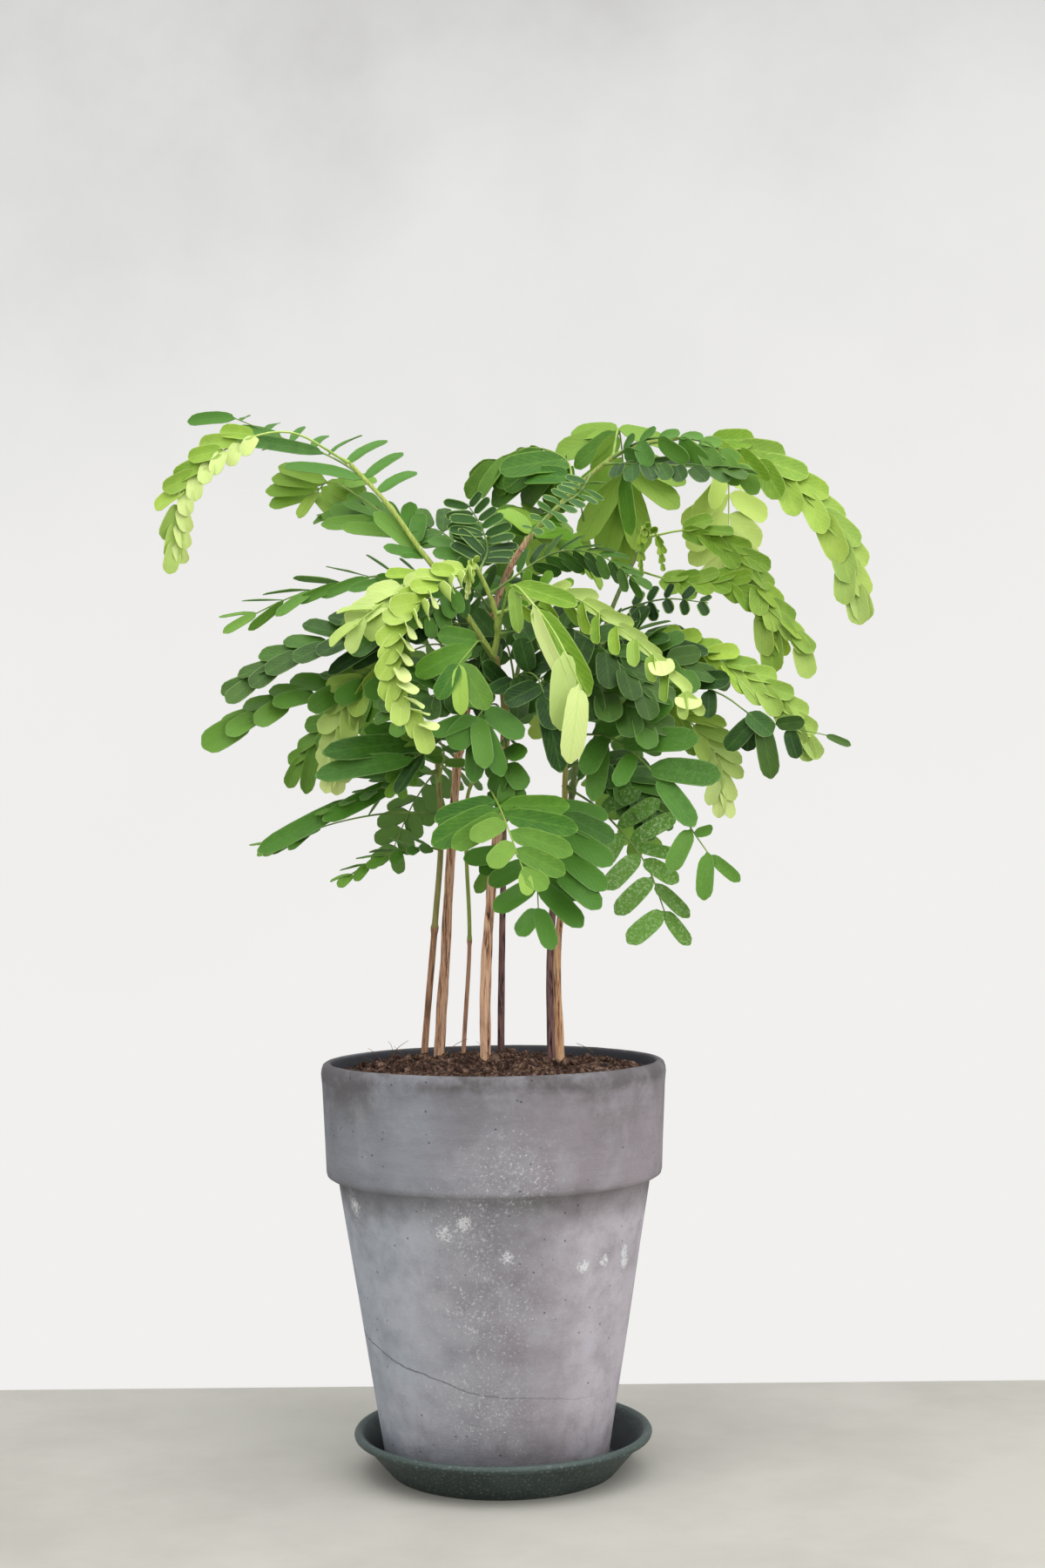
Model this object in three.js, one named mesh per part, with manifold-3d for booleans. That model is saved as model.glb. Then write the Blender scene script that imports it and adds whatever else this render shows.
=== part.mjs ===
// Potted tamarind: seven young stems in a clay pot that stands in a shallow saucer.
// Millimetres, +Z up, +Y away from the front. The origin is the centre of the saucer's underside.
import * as THREE from "three";
import { mergeVertices } from "three/addons/utils/BufferGeometryUtils.js";
import Module from "manifold-3d";

const wasm = await Module();
wasm.setup();

// Clearance between pieces that touch
const GAP = 0.3;

// Pot, measured from the table, with its axis a little left of the saucer's
const POT_SIDES = 32;
const POT_SHIFT_X = -2.6;
const POT_RIM_RADIUS = 70;
const POT_TOP = 165.8;
const POT_FOOT_RADIUS = 45.2;
const POT_WAIST_RADIUS = 63.4;
const BAND_BOTTOM = 119.6;
const BAND_RADIUS = 68;
const POT_WALL = 4.8;
const POT_FLOOR = 6;
const DRAIN_RADIUS = 8;

// Saucer
const SAUCER_SIDES = 28;
const SAUCER_BASE_RADIUS = 46.5;
const SAUCER_LIP_RADIUS = 60.5;
const SAUCER_HEIGHT = 17;
const SAUCER_FLOOR = 2.6;

// Soil
const SOIL_SIDES = 24;
const SOIL_EDGE_Z = 160.6;
const SOIL_CROWN_Z = 163;
const STEM_DEPTH = 24;

// Stems and leaves
const STEM_SIDES = 7;
const STEM_STEP = 16;
const RIB_WIDTH = 1.4;
const BLADE_THICKNESS = 0.7;
const PETIOLE_SEAT = 0.75;

// Leaflets are a little larger than life, so that fewer of them still close each frond
const LEAFLET_GROWTH = 1.15;
const LEAFLET_SLIM = 0.62;
const LEAFLET_CLOSE = 0.92;

const COLOURS = {
  clay: "#80807e",
  saucer: "#3a4643",
  soil: "#3a2a22",
  bark: "#a87458",
  olive_stem: "#8a9a4a",
  dark_stem: "#5a4038",
  mature: "#35633f",
  mid: "#4c8f3c",
  lime: "#9cc93a",
  pale: "#c6e06c",
};

// Directions that a frond's upper face looks in where it leaves its stem
const UP = [0, -0.35, 1];
const HALF = [0, -1, 1];
const FRONT = [0, -1, 0.3];
const BACK = [0, 1, 0.8];

// Each stem: the node it belongs to, radius at the foot and the tip, colour, and its route
const STEMS = {
  far_left: {
    node: "stem_far_left", foot: 1.5, tip: 1.1, colour: "olive_stem",
    way: [[-32, 25, 162], [-27, 24, 219], [-24, 22, 255], [-25, 18, 290]],
  },
  left: {
    node: "stem_left", foot: 2.5, tip: 0.8, colour: "bark",
    way: [
      [-26, 32, 164], [-23, 32, 206], [-20, 31, 251], [-16, 28, 293], [-8, 22, 330],
      [1, 14, 356], [10, 10, 374], [25, 10, 391], [53, 13, 415], [83, 10, 421],
    ],
  },
  slender: {
    node: "stem_slender", foot: 1.0, tip: 0.8, colour: "olive_stem",
    way: [[-16, 45, 164], [-13, 45, 213], [-14, 44, 253], [-13, 42, 275], [-9, 40, 284]],
  },
  centre: {
    node: "stem_centre", foot: 2.4, tip: 1.5, colour: "bark",
    way: [[-6, -5, 161], [-5, -5, 207], [-2, -4, 242], [2, -3, 278], [3, -4, 314], [-1, -6, 330]],
  },
  shoot_left: {
    node: "stem_centre", foot: 1.4, tip: 0.8, colour: "olive_stem",
    way: [[-1, -6, 329], [-11, -6, 345], [-22, -4, 362], [-31, -3, 374], [-42, -2, 390], [-59, -2, 409]],
  },
  shoot_top: {
    node: "stem_centre", foot: 1.4, tip: 0.8, colour: "olive_stem",
    way: [[-1, -6, 329], [1, -8, 340], [-1, -11, 350], [-8, -14, 366]],
  },
  back: {
    node: "stem_back", foot: 1.7, tip: 0.8, colour: "dark_stem",
    way: [[0, 45, 166], [1, 42, 215], [2, 38, 247], [3, 32, 286], [8, 26, 322], [14, 24, 348]],
  },
  right: {
    node: "stem_right", foot: 1.8, tip: 0.8, colour: "dark_stem",
    way: [[21, 3, 162], [21, 6, 207], [24, 11, 241], [31, 18, 275], [35, 26, 308], [49, 34, 353], [65, 36, 386]],
  },
  pale: {
    node: "stem_pale", foot: 1.6, tip: 0.9, colour: "bark",
    way: [[25, -5, 163], [24, -5, 207], [27, -6, 242], [28, -5, 286], [32, -2, 306], [39, 2, 320]],
  },
};

// Each frond: name, stem, age, face, pairs of leaflets, leaflet length, and the route of its rib.
// A fold over 0 lifts the leaflets to a V, one under 0 lets them hang. The wide and bare values
// are the leaflets' width and the length of the bare petiole.
const FRONDS = [
  ["left_tip_arch", "shoot_left", "lime", FRONT, 8, 11, { fold: 14 },
    [[-59, -2, 409], [-81, -14, 419], [-103, -24, 415], [-117, -30, 394], [-124, -32, 365]]],
  ["left_top_blade", "shoot_left", "mature", UP, 7, 14, { bare: 22 },
    [[-41, 0, 389], [-60, 12, 412], [-84, 32, 428], [-122, 52, 441]]],
  ["left_top_back", "shoot_left", "mid", FRONT, 4, 15, {},
    [[-36, -3, 381], [-56, 24, 396], [-72, 38, 400], [-85, 48, 397]]],
  ["left_grey", "shoot_left", "mature", HALF, 5, 12, {},
    [[-26, 0, 371], [-41, 18, 388], [-57, 30, 393], [-73, 42, 393]]],
  ["top_comb", "shoot_top", "mature", FRONT, 4, 16, { wide: 5.2, bare: 6 },
    [[-6, -13, 363], [-3, -6, 373], [-6, -5, 384], [-12, -6, 395]]],
  ["top_cells", "left", "mature", FRONT, 6, 8, {},
    [[41, 8, 405], [33, -10, 392], [22, -28, 382], [12, -44, 370]]],
  ["top_broad", "left", "mature", FRONT, 4, 19, { wide: 8 },
    [[31, 12, 398], [22, 34, 410], [11, 46, 416], [-2, 58, 414]]],
  ["top_back", "left", "lime", UP, 5, 18, { wide: 8 },
    [[48, 13, 414], [51, 45, 422], [54, 70, 425], [59, 92, 418]]],
  ["right_top_dark", "left", "mature", UP, 6, 11, { bare: 14 },
    [[60, 12, 418], [74, -10, 416], [94, -22, 407], [108, -30, 386]]],
  ["right_top_arch", "left", "lime", UP, 8, 14, { fold: -25 },
    [[83, 10, 420], [111, 2, 412], [129, -4, 391], [143, -8, 364], [147, -10, 338]]],
  ["right_top_low", "left", "mature", UP, 6, 12, { fold: -15 },
    [[47, 10, 409], [64, -12, 398], [82, -24, 392], [98, -38, 378]]],
  ["right_top_hanging", "left", "mid", FRONT, 5, 15, { fold: 0 },
    [[80, 13, 420], [97, 40, 412], [100, 48, 396], [98, 50, 374]]],
  ["centre_dark_arch", "shoot_top", "mature", UP, 6, 12, { fold: -30 },
    [[-2, -10, 354], [25, -14, 369], [42, -24, 366], [57, -34, 353]]],
  ["right_upper_lime", "right", "lime", HALF, 7, 13, {},
    [[64, 34, 381], [84, 28, 383], [106, 20, 370], [120, 12, 349], [131, 6, 325]]],
  ["right_middle", "right", "mid", HALF, 6, 13, {},
    [[59, 32, 372], [80, 26, 362], [101, 18, 354], [113, 12, 338], [114, 10, 316]]],
  ["right_small_dark", "right", "mature", FRONT, 5, 8, {},
    [[49, 32, 353], [58, 14, 354], [72, 4, 356], [92, -6, 353]]],
  ["right_inner", "right", "mature", HALF, 6, 13, {},
    [[35, 20, 322], [52, 0, 336], [76, -14, 334], [96, -22, 322]]],
  ["centre_lime_tip", "shoot_top", "lime", UP, 6, 12, {},
    [[0, -10, 346], [28, -26, 351], [46, -42, 338], [62, -54, 323], [74, -62, 306]]],
  ["centre_big_lime", "shoot_top", "lime", FRONT, 3, 25, { wide: 11, bare: 20 },
    [[1, -8, 341], [14, -36, 341], [25, -54, 328], [29, -64, 304]]],
  ["centre_feather", "shoot_top", "pale", FRONT, 8, 12, { fold: 20 },
    [[-8, -14, 365], [-24, -34, 352], [-34, -50, 330], [-33, -56, 309], [-22, -58, 288]]],
  ["centre_cup", "shoot_left", "lime", UP, 4, 14, {},
    [[-24, -4, 364], [-38, -18, 365], [-50, -34, 355], [-62, -46, 339]]],
  ["left_dark_edge", "shoot_left", "mature", UP, 7, 12, { bare: 24 },
    [[-16, -4, 352], [-41, 2, 364], [-71, 6, 361], [-96, 4, 350], [-118, 2, 339]]],
  ["left_long", "left", "mature", HALF, 7, 14, { bare: 26 },
    [[-4, 18, 344], [-35, -4, 341], [-63, -12, 334], [-90, -18, 322], [-113, -22, 307]]],
  ["left_long_low", "left", "mature", HALF, 7, 15, { bare: 26 },
    [[-8, 22, 330], [-39, 0, 322], [-70, -8, 314], [-92, -14, 305], [-112, -18, 293]]],
  ["left_lime_hanging", "left", "lime", FRONT, 6, 12, { bare: 30 },
    [[-12, 25, 314], [-36, 17, 322], [-53, 17, 313], [-63, 18, 297], [-65, 18, 272]]],
  ["left_back", "left", "mature", UP, 6, 14, { bare: 24 },
    [[-10, 24, 318], [-45, 36, 320], [-71, 44, 306], [-92, 50, 284]]],
  ["left_big_leaflets", "left", "mature", HALF, 3, 24, { wide: 9.5 },
    [[-16, 28, 293], [-32, -10, 290], [-47, -26, 286], [-66, -38, 280]]],
  ["low_left_upper", "far_left", "mature", HALF, 6, 12, {},
    [[-25, 18, 284], [-44, 8, 277], [-63, -2, 268], [-86, -10, 256]]],
  ["low_left_long", "far_left", "mature", HALF, 6, 12, {},
    [[-24, 20, 266], [-45, 24, 264], [-73, 20, 260], [-106, 14, 245]]],
  ["low_left_hanging", "far_left", "mature", FRONT, 5, 12, {},
    [[-24, 22, 254], [-37, 8, 253], [-50, -4, 245], [-67, -14, 231]]],
  ["low_front", "centre", "mid", FRONT, 5, 25, { wide: 9.5, bare: 14 },
    [[0, -4, 270], [1, -28, 270], [7, -46, 257], [12, -56, 236]]],
  ["low_front_tip", "centre", "mature", FRONT, 3, 15, { wide: 8.5, bare: 20 },
    [[-1, -4, 248], [6, -20, 243], [13, -30, 234], [17, -34, 214]]],
  ["low_front_right", "centre", "mature", HALF, 4, 20, { wide: 8.5 },
    [[1, -4, 262], [22, -10, 261], [38, -24, 251], [48, -36, 233]]],
  ["low_right_mottled", "pale", "mature", HALF, 5, 12, {},
    [[28, -5, 276], [48, -11, 271], [63, -15, 251], [71, -21, 226]]],
  ["low_right_big", "pale", "mature", HALF, 6, 20, { wide: 8.5, taper: 0.55 },
    [[29, -4, 294], [45, -24, 292], [64, -38, 268], [87, -48, 243]]],
  ["right_lower_lime", "right", "lime", HALF, 7, 13, { bare: 20 },
    [[44, 31, 339], [70, 8, 333], [97, -4, 323], [117, -10, 307], [130, -14, 284]]],
  ["right_dark_long", "pale", "mature", HALF, 7, 12, { bare: 22 },
    [[39, 2, 320], [68, -16, 322], [96, -24, 309], [122, -28, 295], [146, -32, 288]]],
  ["right_low_lime", "right", "lime", HALF, 5, 13, { bare: 20 },
    [[35, 26, 308], [60, 16, 312], [81, 8, 299], [92, 2, 282], [94, 0, 260]]],
  ["centre_dark", "centre", "mature", FRONT, 3, 14, { wide: 8 },
    [[3, -4, 317], [14, -20, 325], [24, -32, 320], [33, -38, 305]]],
  ["centre_mid", "centre", "mid", FRONT, 2, 19, { wide: 9, bare: 8 },
    [[-1, -6, 328], [-7, -25, 330], [-13, -37, 325], [-16, -42, 314]]],
  ["centre_blue", "centre", "mature", UP, 2, 17, { wide: 9 },
    [[3, -4, 305], [-4, -24, 307], [-11, -34, 303], [-19, -42, 295]]],
  ["centre_low", "centre", "mid", FRONT, 3, 12, { wide: 7 },
    [[3, -4, 294], [4, -20, 296], [7, -32, 290], [9, -37, 274]]],
  ["centre_shadow", "shoot_top", "mature", HALF, 4, 14, {},
    [[0, -8, 338], [25, -18, 340], [42, -28, 330], [60, -34, 311]]],
  ["back_left", "left", "mid", BACK, 5, 15, { bare: 16 },
    [[-9, 24, 326], [-27, 60, 341], [-48, 84, 334], [-65, 102, 312]]],
  ["back_high", "back", "mature", UP, 5, 16, { bare: 14 },
    [[14, 24, 347], [4, 58, 366], [2, 92, 368], [3, 122, 350]]],
  ["back_right", "right", "mature", BACK, 5, 15, { bare: 16 },
    [[44, 31, 339], [54, 60, 346], [66, 88, 342], [76, 110, 320]]],
  ["back_low_left", "slender", "mature", BACK, 5, 14, {},
    [[-9, 40, 283], [-24, 66, 288], [-38, 90, 274], [-50, 106, 250]]],
  ["back_low_right", "right", "mid", BACK, 5, 14, {},
    [[31, 18, 275], [40, 50, 290], [54, 78, 278], [64, 96, 254]]],
  ["back_crown", "left", "mid", UP, 5, 14, {},
    [[12, 10, 377], [14, 46, 394], [8, 76, 394], [0, 100, 378]]],
  ["back_middle", "back", "lime", BACK, 5, 14, {},
    [[8, 26, 322], [18, 60, 322], [22, 88, 306], [22, 104, 282]]],
];

// Deepest soil that a stem reaches, and the holes' own depth
const STEM_FOOT_Z = SOIL_CROWN_Z - STEM_DEPTH;

const vector = (point) => new THREE.Vector3(...point);

// Signed volume of an indexed mesh, positive when its faces point out
function signedVolume(positions, index) {
  const a = new THREE.Vector3();
  const b = new THREE.Vector3();
  const c = new THREE.Vector3();
  let sum = 0;
  for (let i = 0; i < index.length; i += 3) {
    a.fromArray(positions, 3 * index[i]);
    b.fromArray(positions, 3 * index[i + 1]);
    c.fromArray(positions, 3 * index[i + 2]);
    sum += a.dot(b.cross(c)) / 6;
  }
  return sum;
}

// Merges shared points, drops collapsed triangles and turns the faces out
function closedSurface(geometry) {
  const bare = geometry.index ? geometry.toNonIndexed() : geometry.clone();
  bare.deleteAttribute("normal");
  bare.deleteAttribute("uv");
  const merged = mergeVertices(bare, 1e-3);
  const positions = merged.attributes.position.array;
  const old = merged.index.array;
  const index = [];
  for (let i = 0; i < old.length; i += 3) {
    const [a, b, c] = [old[i], old[i + 1], old[i + 2]];
    if (a !== b && b !== c && c !== a) index.push(a, b, c);
  }
  if (signedVolume(positions, index) < 0) index.reverse();
  merged.setIndex(index);
  return merged;
}

function toSolid(geometry) {
  const surface = closedSurface(geometry);
  const vertProperties = new Float32Array(surface.attributes.position.array);
  const triVerts = new Uint32Array(surface.index.array);
  return new wasm.Manifold(new wasm.Mesh({ numProp: 3, vertProperties, triVerts }));
}

function fromSolid(solid) {
  const mesh = solid.getMesh();
  const geometry = new THREE.BufferGeometry();
  const positions = new Float32Array(mesh.vertProperties);
  geometry.setAttribute("position", new THREE.BufferAttribute(positions, 3));
  geometry.setIndex([...mesh.triVerts]);
  return geometry;
}

// One turned piece about a vertical axis, from a profile of [radius, height] points
function turned(profile, sides, shiftX = 0) {
  const points = profile.map(([radius, height]) => new THREE.Vector2(radius, height));
  const geometry = new THREE.LatheGeometry(points, sides);
  geometry.rotateX(Math.PI / 2);
  geometry.translate(shiftX, 0, 0);
  return closedSurface(geometry);
}

// Skins a row of rings of equal length and closes both ends with fans
function lofted(rings) {
  const sides = rings[0].length;
  const positions = rings.flat().flatMap((point) => [point.x, point.y, point.z]);
  const index = [];
  for (let i = 0; i + 1 < rings.length; i++) {
    for (let j = 0; j < sides; j++) {
      const a = i * sides + j;
      const b = i * sides + ((j + 1) % sides);
      index.push(a, b, b + sides, a, b + sides, a + sides);
    }
  }
  const last = (rings.length - 1) * sides;
  for (let j = 1; j + 1 < sides; j++) {
    index.push(0, j + 1, j);
    index.push(last, last + j, last + j + 1);
  }
  const geometry = new THREE.BufferGeometry();
  geometry.setAttribute("position", new THREE.Float32BufferAttribute(positions, 3));
  geometry.setIndex(index);
  return closedSurface(geometry);
}

// A saucer with a flared wall and a rolled lip that overhangs a small step
function saucer() {
  const base = SAUCER_BASE_RADIUS;
  const lip = SAUCER_LIP_RADIUS;
  const top = SAUCER_HEIGHT;
  const profile = [
    [0, 0], [base - 0.8, 0], [base, 0.8], [lip - 4, top - 4.6], [lip - 2.6, top - 3.6],
    [lip - 0.4, top - 3], [lip, top - 1.6], [lip - 0.8, top - 0.2], [lip - 2, top],
    [lip - 3.4, top - 0.8], [lip - 6, top - 4.2], [base + 0.4, SAUCER_FLOOR], [0, SAUCER_FLOOR],
  ];
  return turned(profile, SAUCER_SIDES);
}

// A clay pot with a rounded rim over a deep band, open at the top, with a drain hole
function pot() {
  const rim = POT_RIM_RADIUS;
  const top = POT_TOP;
  const foot = SAUCER_FLOOR + GAP;
  const inner = rim - POT_WALL;
  const profile = [
    [DRAIN_RADIUS, foot], [POT_FOOT_RADIUS - 1.8, foot], [POT_FOOT_RADIUS, foot + 2.1],
    [POT_WAIST_RADIUS, BAND_BOTTOM], [BAND_RADIUS - 0.8, BAND_BOTTOM + 0.5],
    [BAND_RADIUS, BAND_BOTTOM + 2], [rim - 0.4, top - 9], [rim, top - 4.5], [rim - 0.4, top - 2],
    [rim - 1.8, top - 0.4], [rim - 3.2, top], [inner + 0.4, top - 0.9], [inner, top - 3],
    [POT_FOOT_RADIUS - POT_WALL, foot + POT_FLOOR + 1.5],
    [POT_FOOT_RADIUS - POT_WALL - 2, foot + POT_FLOOR], [DRAIN_RADIUS, foot + POT_FLOOR],
    [DRAIN_RADIUS, foot],
  ];
  return turned(profile, POT_SIDES, POT_SHIFT_X);
}

// Radius of the pot's inner wall at a height
function potInnerRadius(height) {
  const low = [POT_FOOT_RADIUS - POT_WALL, SAUCER_FLOOR + GAP + POT_FLOOR + 1.5];
  const high = [POT_RIM_RADIUS - POT_WALL, POT_TOP - 3];
  const share = (height - low[1]) / (high[1] - low[1]);
  return low[0] + share * (high[0] - low[0]);
}

function stemCurve(stem) {
  const way = stem.way.map(vector);
  if (stem.way[0][2] < SOIL_CROWN_Z + 5) way.unshift(way[0].clone().setZ(STEM_FOOT_Z));
  return new THREE.CatmullRomCurve3(way, false, "centripetal");
}

const CURVES = Object.fromEntries(Object.entries(STEMS).map(([name, stem]) => [name, stemCurve(stem)]));

function stemRadius(stem, share) {
  return stem.foot + (stem.tip - stem.foot) * share;
}

function stemTube(name) {
  const stem = STEMS[name];
  const curve = CURVES[name];
  const steps = Math.ceil(curve.getLength() / STEM_STEP);
  const { normals, binormals } = curve.computeFrenetFrames(steps, false);
  const rings = [];
  for (let i = 0; i <= steps; i++) {
    const centre = curve.getPointAt(i / steps);
    const radius = stemRadius(stem, i / steps);
    const ring = [];
    for (let j = 0; j < STEM_SIDES; j++) {
      const angle = (2 * Math.PI * j) / STEM_SIDES;
      const point = centre.clone();
      point.addScaledVector(normals[i], radius * Math.cos(angle));
      point.addScaledVector(binormals[i], radius * Math.sin(angle));
      ring.push(point);
    }
    rings.push(ring);
  }
  return lofted(rings);
}

// The soil fills the pot and is domed a little, with a plain round hole for each stem
function soil() {
  const bottom = SAUCER_FLOOR + GAP + POT_FLOOR + GAP;
  const low = bottom + 2;
  const profile = [
    [0, bottom], [potInnerRadius(low) - 3, bottom], [potInnerRadius(low) - GAP - 0.5, low],
    [potInnerRadius(SOIL_EDGE_Z) - GAP - 0.5, SOIL_EDGE_Z],
    [potInnerRadius(SOIL_EDGE_Z) * 0.5, SOIL_CROWN_Z - 0.6], [0, SOIL_CROWN_Z],
  ];
  let solid = toSolid(turned(profile, SOIL_SIDES, POT_SHIFT_X));
  for (const [name, stem] of Object.entries(STEMS)) {
    if (stem.way[0][2] > SOIL_CROWN_Z + 5) continue;
    const radius = stem.foot / Math.cos(Math.PI / STEM_SIDES) + GAP;
    const height = STEM_DEPTH + 12;
    const hole = new THREE.CylinderGeometry(radius, radius, height, 10);
    hole.rotateX(Math.PI / 2);
    const foot = CURVES[name].getPointAt(0);
    hole.translate(foot.x, foot.y, STEM_FOOT_Z - GAP + height / 2);
    solid = solid.subtract(toSolid(hole));
  }
  return fromSolid(solid);
}

// The place on a stem's surface where a frond leaves it towards the next point of its route
function seatOnStem(name, near, next) {
  const curve = CURVES[name];
  const tries = 400;
  let best = 0;
  for (let i = 0; i <= tries; i++) {
    const here = curve.getPointAt(i / tries).distanceTo(near);
    if (here < curve.getPointAt(best / tries).distanceTo(near)) best = i;
  }
  const centre = curve.getPointAt(best / tries);
  const along = curve.getTangentAt(best / tries);
  const out = next.clone().sub(centre);
  out.addScaledVector(along, -out.dot(along)).normalize();
  const reach = stemRadius(STEMS[name], best / tries) + PETIOLE_SEAT;
  return centre.addScaledVector(out, reach);
}

// A thin sheet of polygons that can be given an even thickness
class Sheet {
  constructor() {
    this.points = [];
    this.triangles = [];
  }

  add(point) {
    this.points.push(point.clone());
    return this.points.length - 1;
  }

  face(...corners) {
    this.triangles.push(corners);
  }

  normals() {
    const normals = this.points.map(() => new THREE.Vector3());
    for (const [a, b, c] of this.triangles) {
      const one = this.points[b].clone().sub(this.points[a]);
      const two = this.points[c].clone().sub(this.points[a]);
      const cross = one.cross(two);
      for (const corner of [a, b, c]) normals[corner].add(cross);
    }
    return normals.map((normal) => normal.normalize());
  }

  thickened(thickness) {
    const normals = this.normals();
    const count = this.points.length;
    const faces = [1, -1].flatMap((side) =>
      this.points.map((point, i) => point.clone().addScaledVector(normals[i], (side * thickness) / 2)),
    );
    const index = [];
    const edges = new Map();
    for (const [a, b, c] of this.triangles) {
      index.push(a, b, c, count + a, count + c, count + b);
      for (const [from, to] of [[a, b], [b, c], [c, a]]) {
        if (!edges.delete(`${to},${from}`)) edges.set(`${from},${to}`, [from, to]);
      }
    }
    for (const [from, to] of edges.values()) {
      index.push(from, count + from, count + to, from, count + to, to);
    }
    const geometry = new THREE.BufferGeometry().setFromPoints(faces);
    geometry.setIndex(index);
    return closedSurface(geometry);
  }
}

// Points, tangents, upper-face normals and side directions along a frond's rib
function ribFrames(curve, face, shares) {
  const frames = [];
  let normal = vector(face).normalize();
  for (const share of shares) {
    const tangent = curve.getTangentAt(share);
    normal = normal.clone().addScaledVector(tangent, -normal.dot(tangent)).normalize();
    const side = tangent.clone().cross(normal);
    frames.push({ centre: curve.getPointAt(share), tangent, normal, side });
  }
  return frames;
}

// Shares of the rib at which its strip has stations: the petiole, then two for each pair
function ribShares(length, bare, pairs, root) {
  const pitch = (length - bare) / (pairs - 0.5);
  const petioleSteps = Math.max(2, Math.round(bare / 7));
  const shares = [];
  for (let i = 0; i < petioleSteps; i++) shares.push(((i / petioleSteps) * (bare - root / 2)) / length);
  for (let i = 0; i < pairs; i++) {
    const middle = bare + i * pitch;
    shares.push((middle - root / 2) / length, (middle + root / 2) / length);
  }
  return { shares, petioleSteps, pitch };
}

// One leaflet: narrow at the root, widest a third of the way out, blunt at the tip
function addLeaflet(sheet, frame, sign, corners, shape) {
  const fold = THREE.MathUtils.degToRad(shape.fold);
  const lean = THREE.MathUtils.degToRad(shape.lean);
  const across = frame.side.clone().multiplyScalar(sign * Math.cos(fold));
  across.addScaledVector(frame.normal, Math.sin(fold));
  const out = across.clone().multiplyScalar(Math.sin(lean));
  out.addScaledVector(frame.tangent, Math.cos(lean));
  const broad = frame.tangent.clone().multiplyScalar(Math.sin(lean));
  broad.addScaledVector(across, -Math.cos(lean));
  const at = (reach, half) => {
    const point = frame.centre.clone();
    point.addScaledVector(out, RIB_WIDTH / 2 + reach * shape.length);
    point.addScaledVector(broad, half * shape.width);
    point.addScaledVector(frame.normal, -0.16 * reach * reach * shape.length);
    return sheet.add(point);
  };
  const [near, far] = corners;
  const [a0, b0, b1, a1] = [at(0.32, -0.5), at(1, -0.3), at(1, 0.3), at(0.32, 0.5)];
  const faces = [[near, a0, a1], [near, a1, far], [a0, b0, b1], [a0, b1, a1]];
  for (const [a, b, c] of faces) {
    if (sign > 0) sheet.face(a, b, c);
    else sheet.face(a, c, b);
  }
}

function frondBlade([, stem, , face, pairs, leaf, shape, way]) {
  const points = way.map(vector);
  points[0] = seatOnStem(stem, points[0], points[1]);
  const curve = new THREE.CatmullRomCurve3(points, false, "centripetal");
  const length = curve.getLength();
  const bare = shape.bare ?? 10;
  const root = Math.min(2, 0.3 * ((length - bare) / pairs));
  const { shares, petioleSteps, pitch } = ribShares(length, bare, pairs, root);
  const frames = ribFrames(curve, face, shares);
  const sheet = new Sheet();
  const rails = frames.map(({ centre, side }, i) => {
    const half = (RIB_WIDTH / 2) * (1 - (0.35 * i) / frames.length);
    const left = sheet.add(centre.clone().addScaledVector(side, -half));
    const right = sheet.add(centre.clone().addScaledVector(side, half));
    return [left, right];
  });
  for (let i = 0; i + 1 < rails.length; i++) {
    sheet.face(rails[i][0], rails[i][1], rails[i + 1][1]);
    sheet.face(rails[i][0], rails[i + 1][1], rails[i + 1][0]);
  }
  for (let k = 0; k < pairs; k++) {
    const share = k / Math.max(1, pairs - 1);
    const i = petioleSteps + 2 * k;
    const lean = THREE.MathUtils.lerp(80, 48, share * share);
    const size = (1 - (shape.taper ?? 0.2) * share) * (0.85 + 0.15 * Math.sin(Math.PI * share));
    const room = LEAFLET_CLOSE * pitch * Math.sin(THREE.MathUtils.degToRad(lean));
    const width = Math.min(shape.wide ?? LEAFLET_SLIM * leaf, room);
    const leaflet = { fold: shape.fold ?? 10, lean, length: LEAFLET_GROWTH * leaf * size, width: width * Math.sqrt(size) };
    addLeaflet(sheet, frames[i], 1, [rails[i][1], rails[i + 1][1]], leaflet);
    addLeaflet(sheet, frames[i], -1, [rails[i][0], rails[i + 1][0]], leaflet);
  }
  return sheet.thickened(BLADE_THICKNESS);
}

function addNode(group, name, geometry, colour, roughness) {
  const material = new THREE.MeshStandardMaterial({ color: COLOURS[colour], roughness, metalness: 0 });
  const mesh = new THREE.Mesh(geometry, material);
  mesh.name = name;
  group.add(mesh);
}

function joined(geometries) {
  if (geometries.length === 1) return geometries[0];
  const [first, ...rest] = geometries.map(toSolid);
  return fromSolid(rest.reduce((whole, solid) => whole.add(solid), first));
}

function pottedTamarind() {
  const plant = new THREE.Group();
  addNode(plant, "saucer", saucer(), "saucer", 0.55);
  addNode(plant, "pot", pot(), "clay", 0.9);
  addNode(plant, "soil", soil(), "soil", 1);
  const nodes = [...new Set(Object.values(STEMS).map((stem) => stem.node))];
  for (const node of nodes) {
    const names = Object.keys(STEMS).filter((name) => STEMS[name].node === node);
    addNode(plant, node, joined(names.map(stemTube)), STEMS[names[0]].colour, 0.8);
  }
  for (const frond of FRONDS) addNode(plant, `frond_${frond[0]}`, frondBlade(frond), frond[2], 0.6);
  return plant;
}

export default pottedTamarind();
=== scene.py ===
"""Dresses the potted tamarind: leaves, bark, compost, weathered clay and saucer plastic.

Sizes are millimetres in the tables and metres in the meshes. The origin is the centre of the
saucer's underside, +Z is up and +Y points away from the front.
"""

from __future__ import annotations

import logging
import math
import random
from dataclasses import dataclass, field
from enum import Enum
from typing import Callable, Sequence

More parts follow.
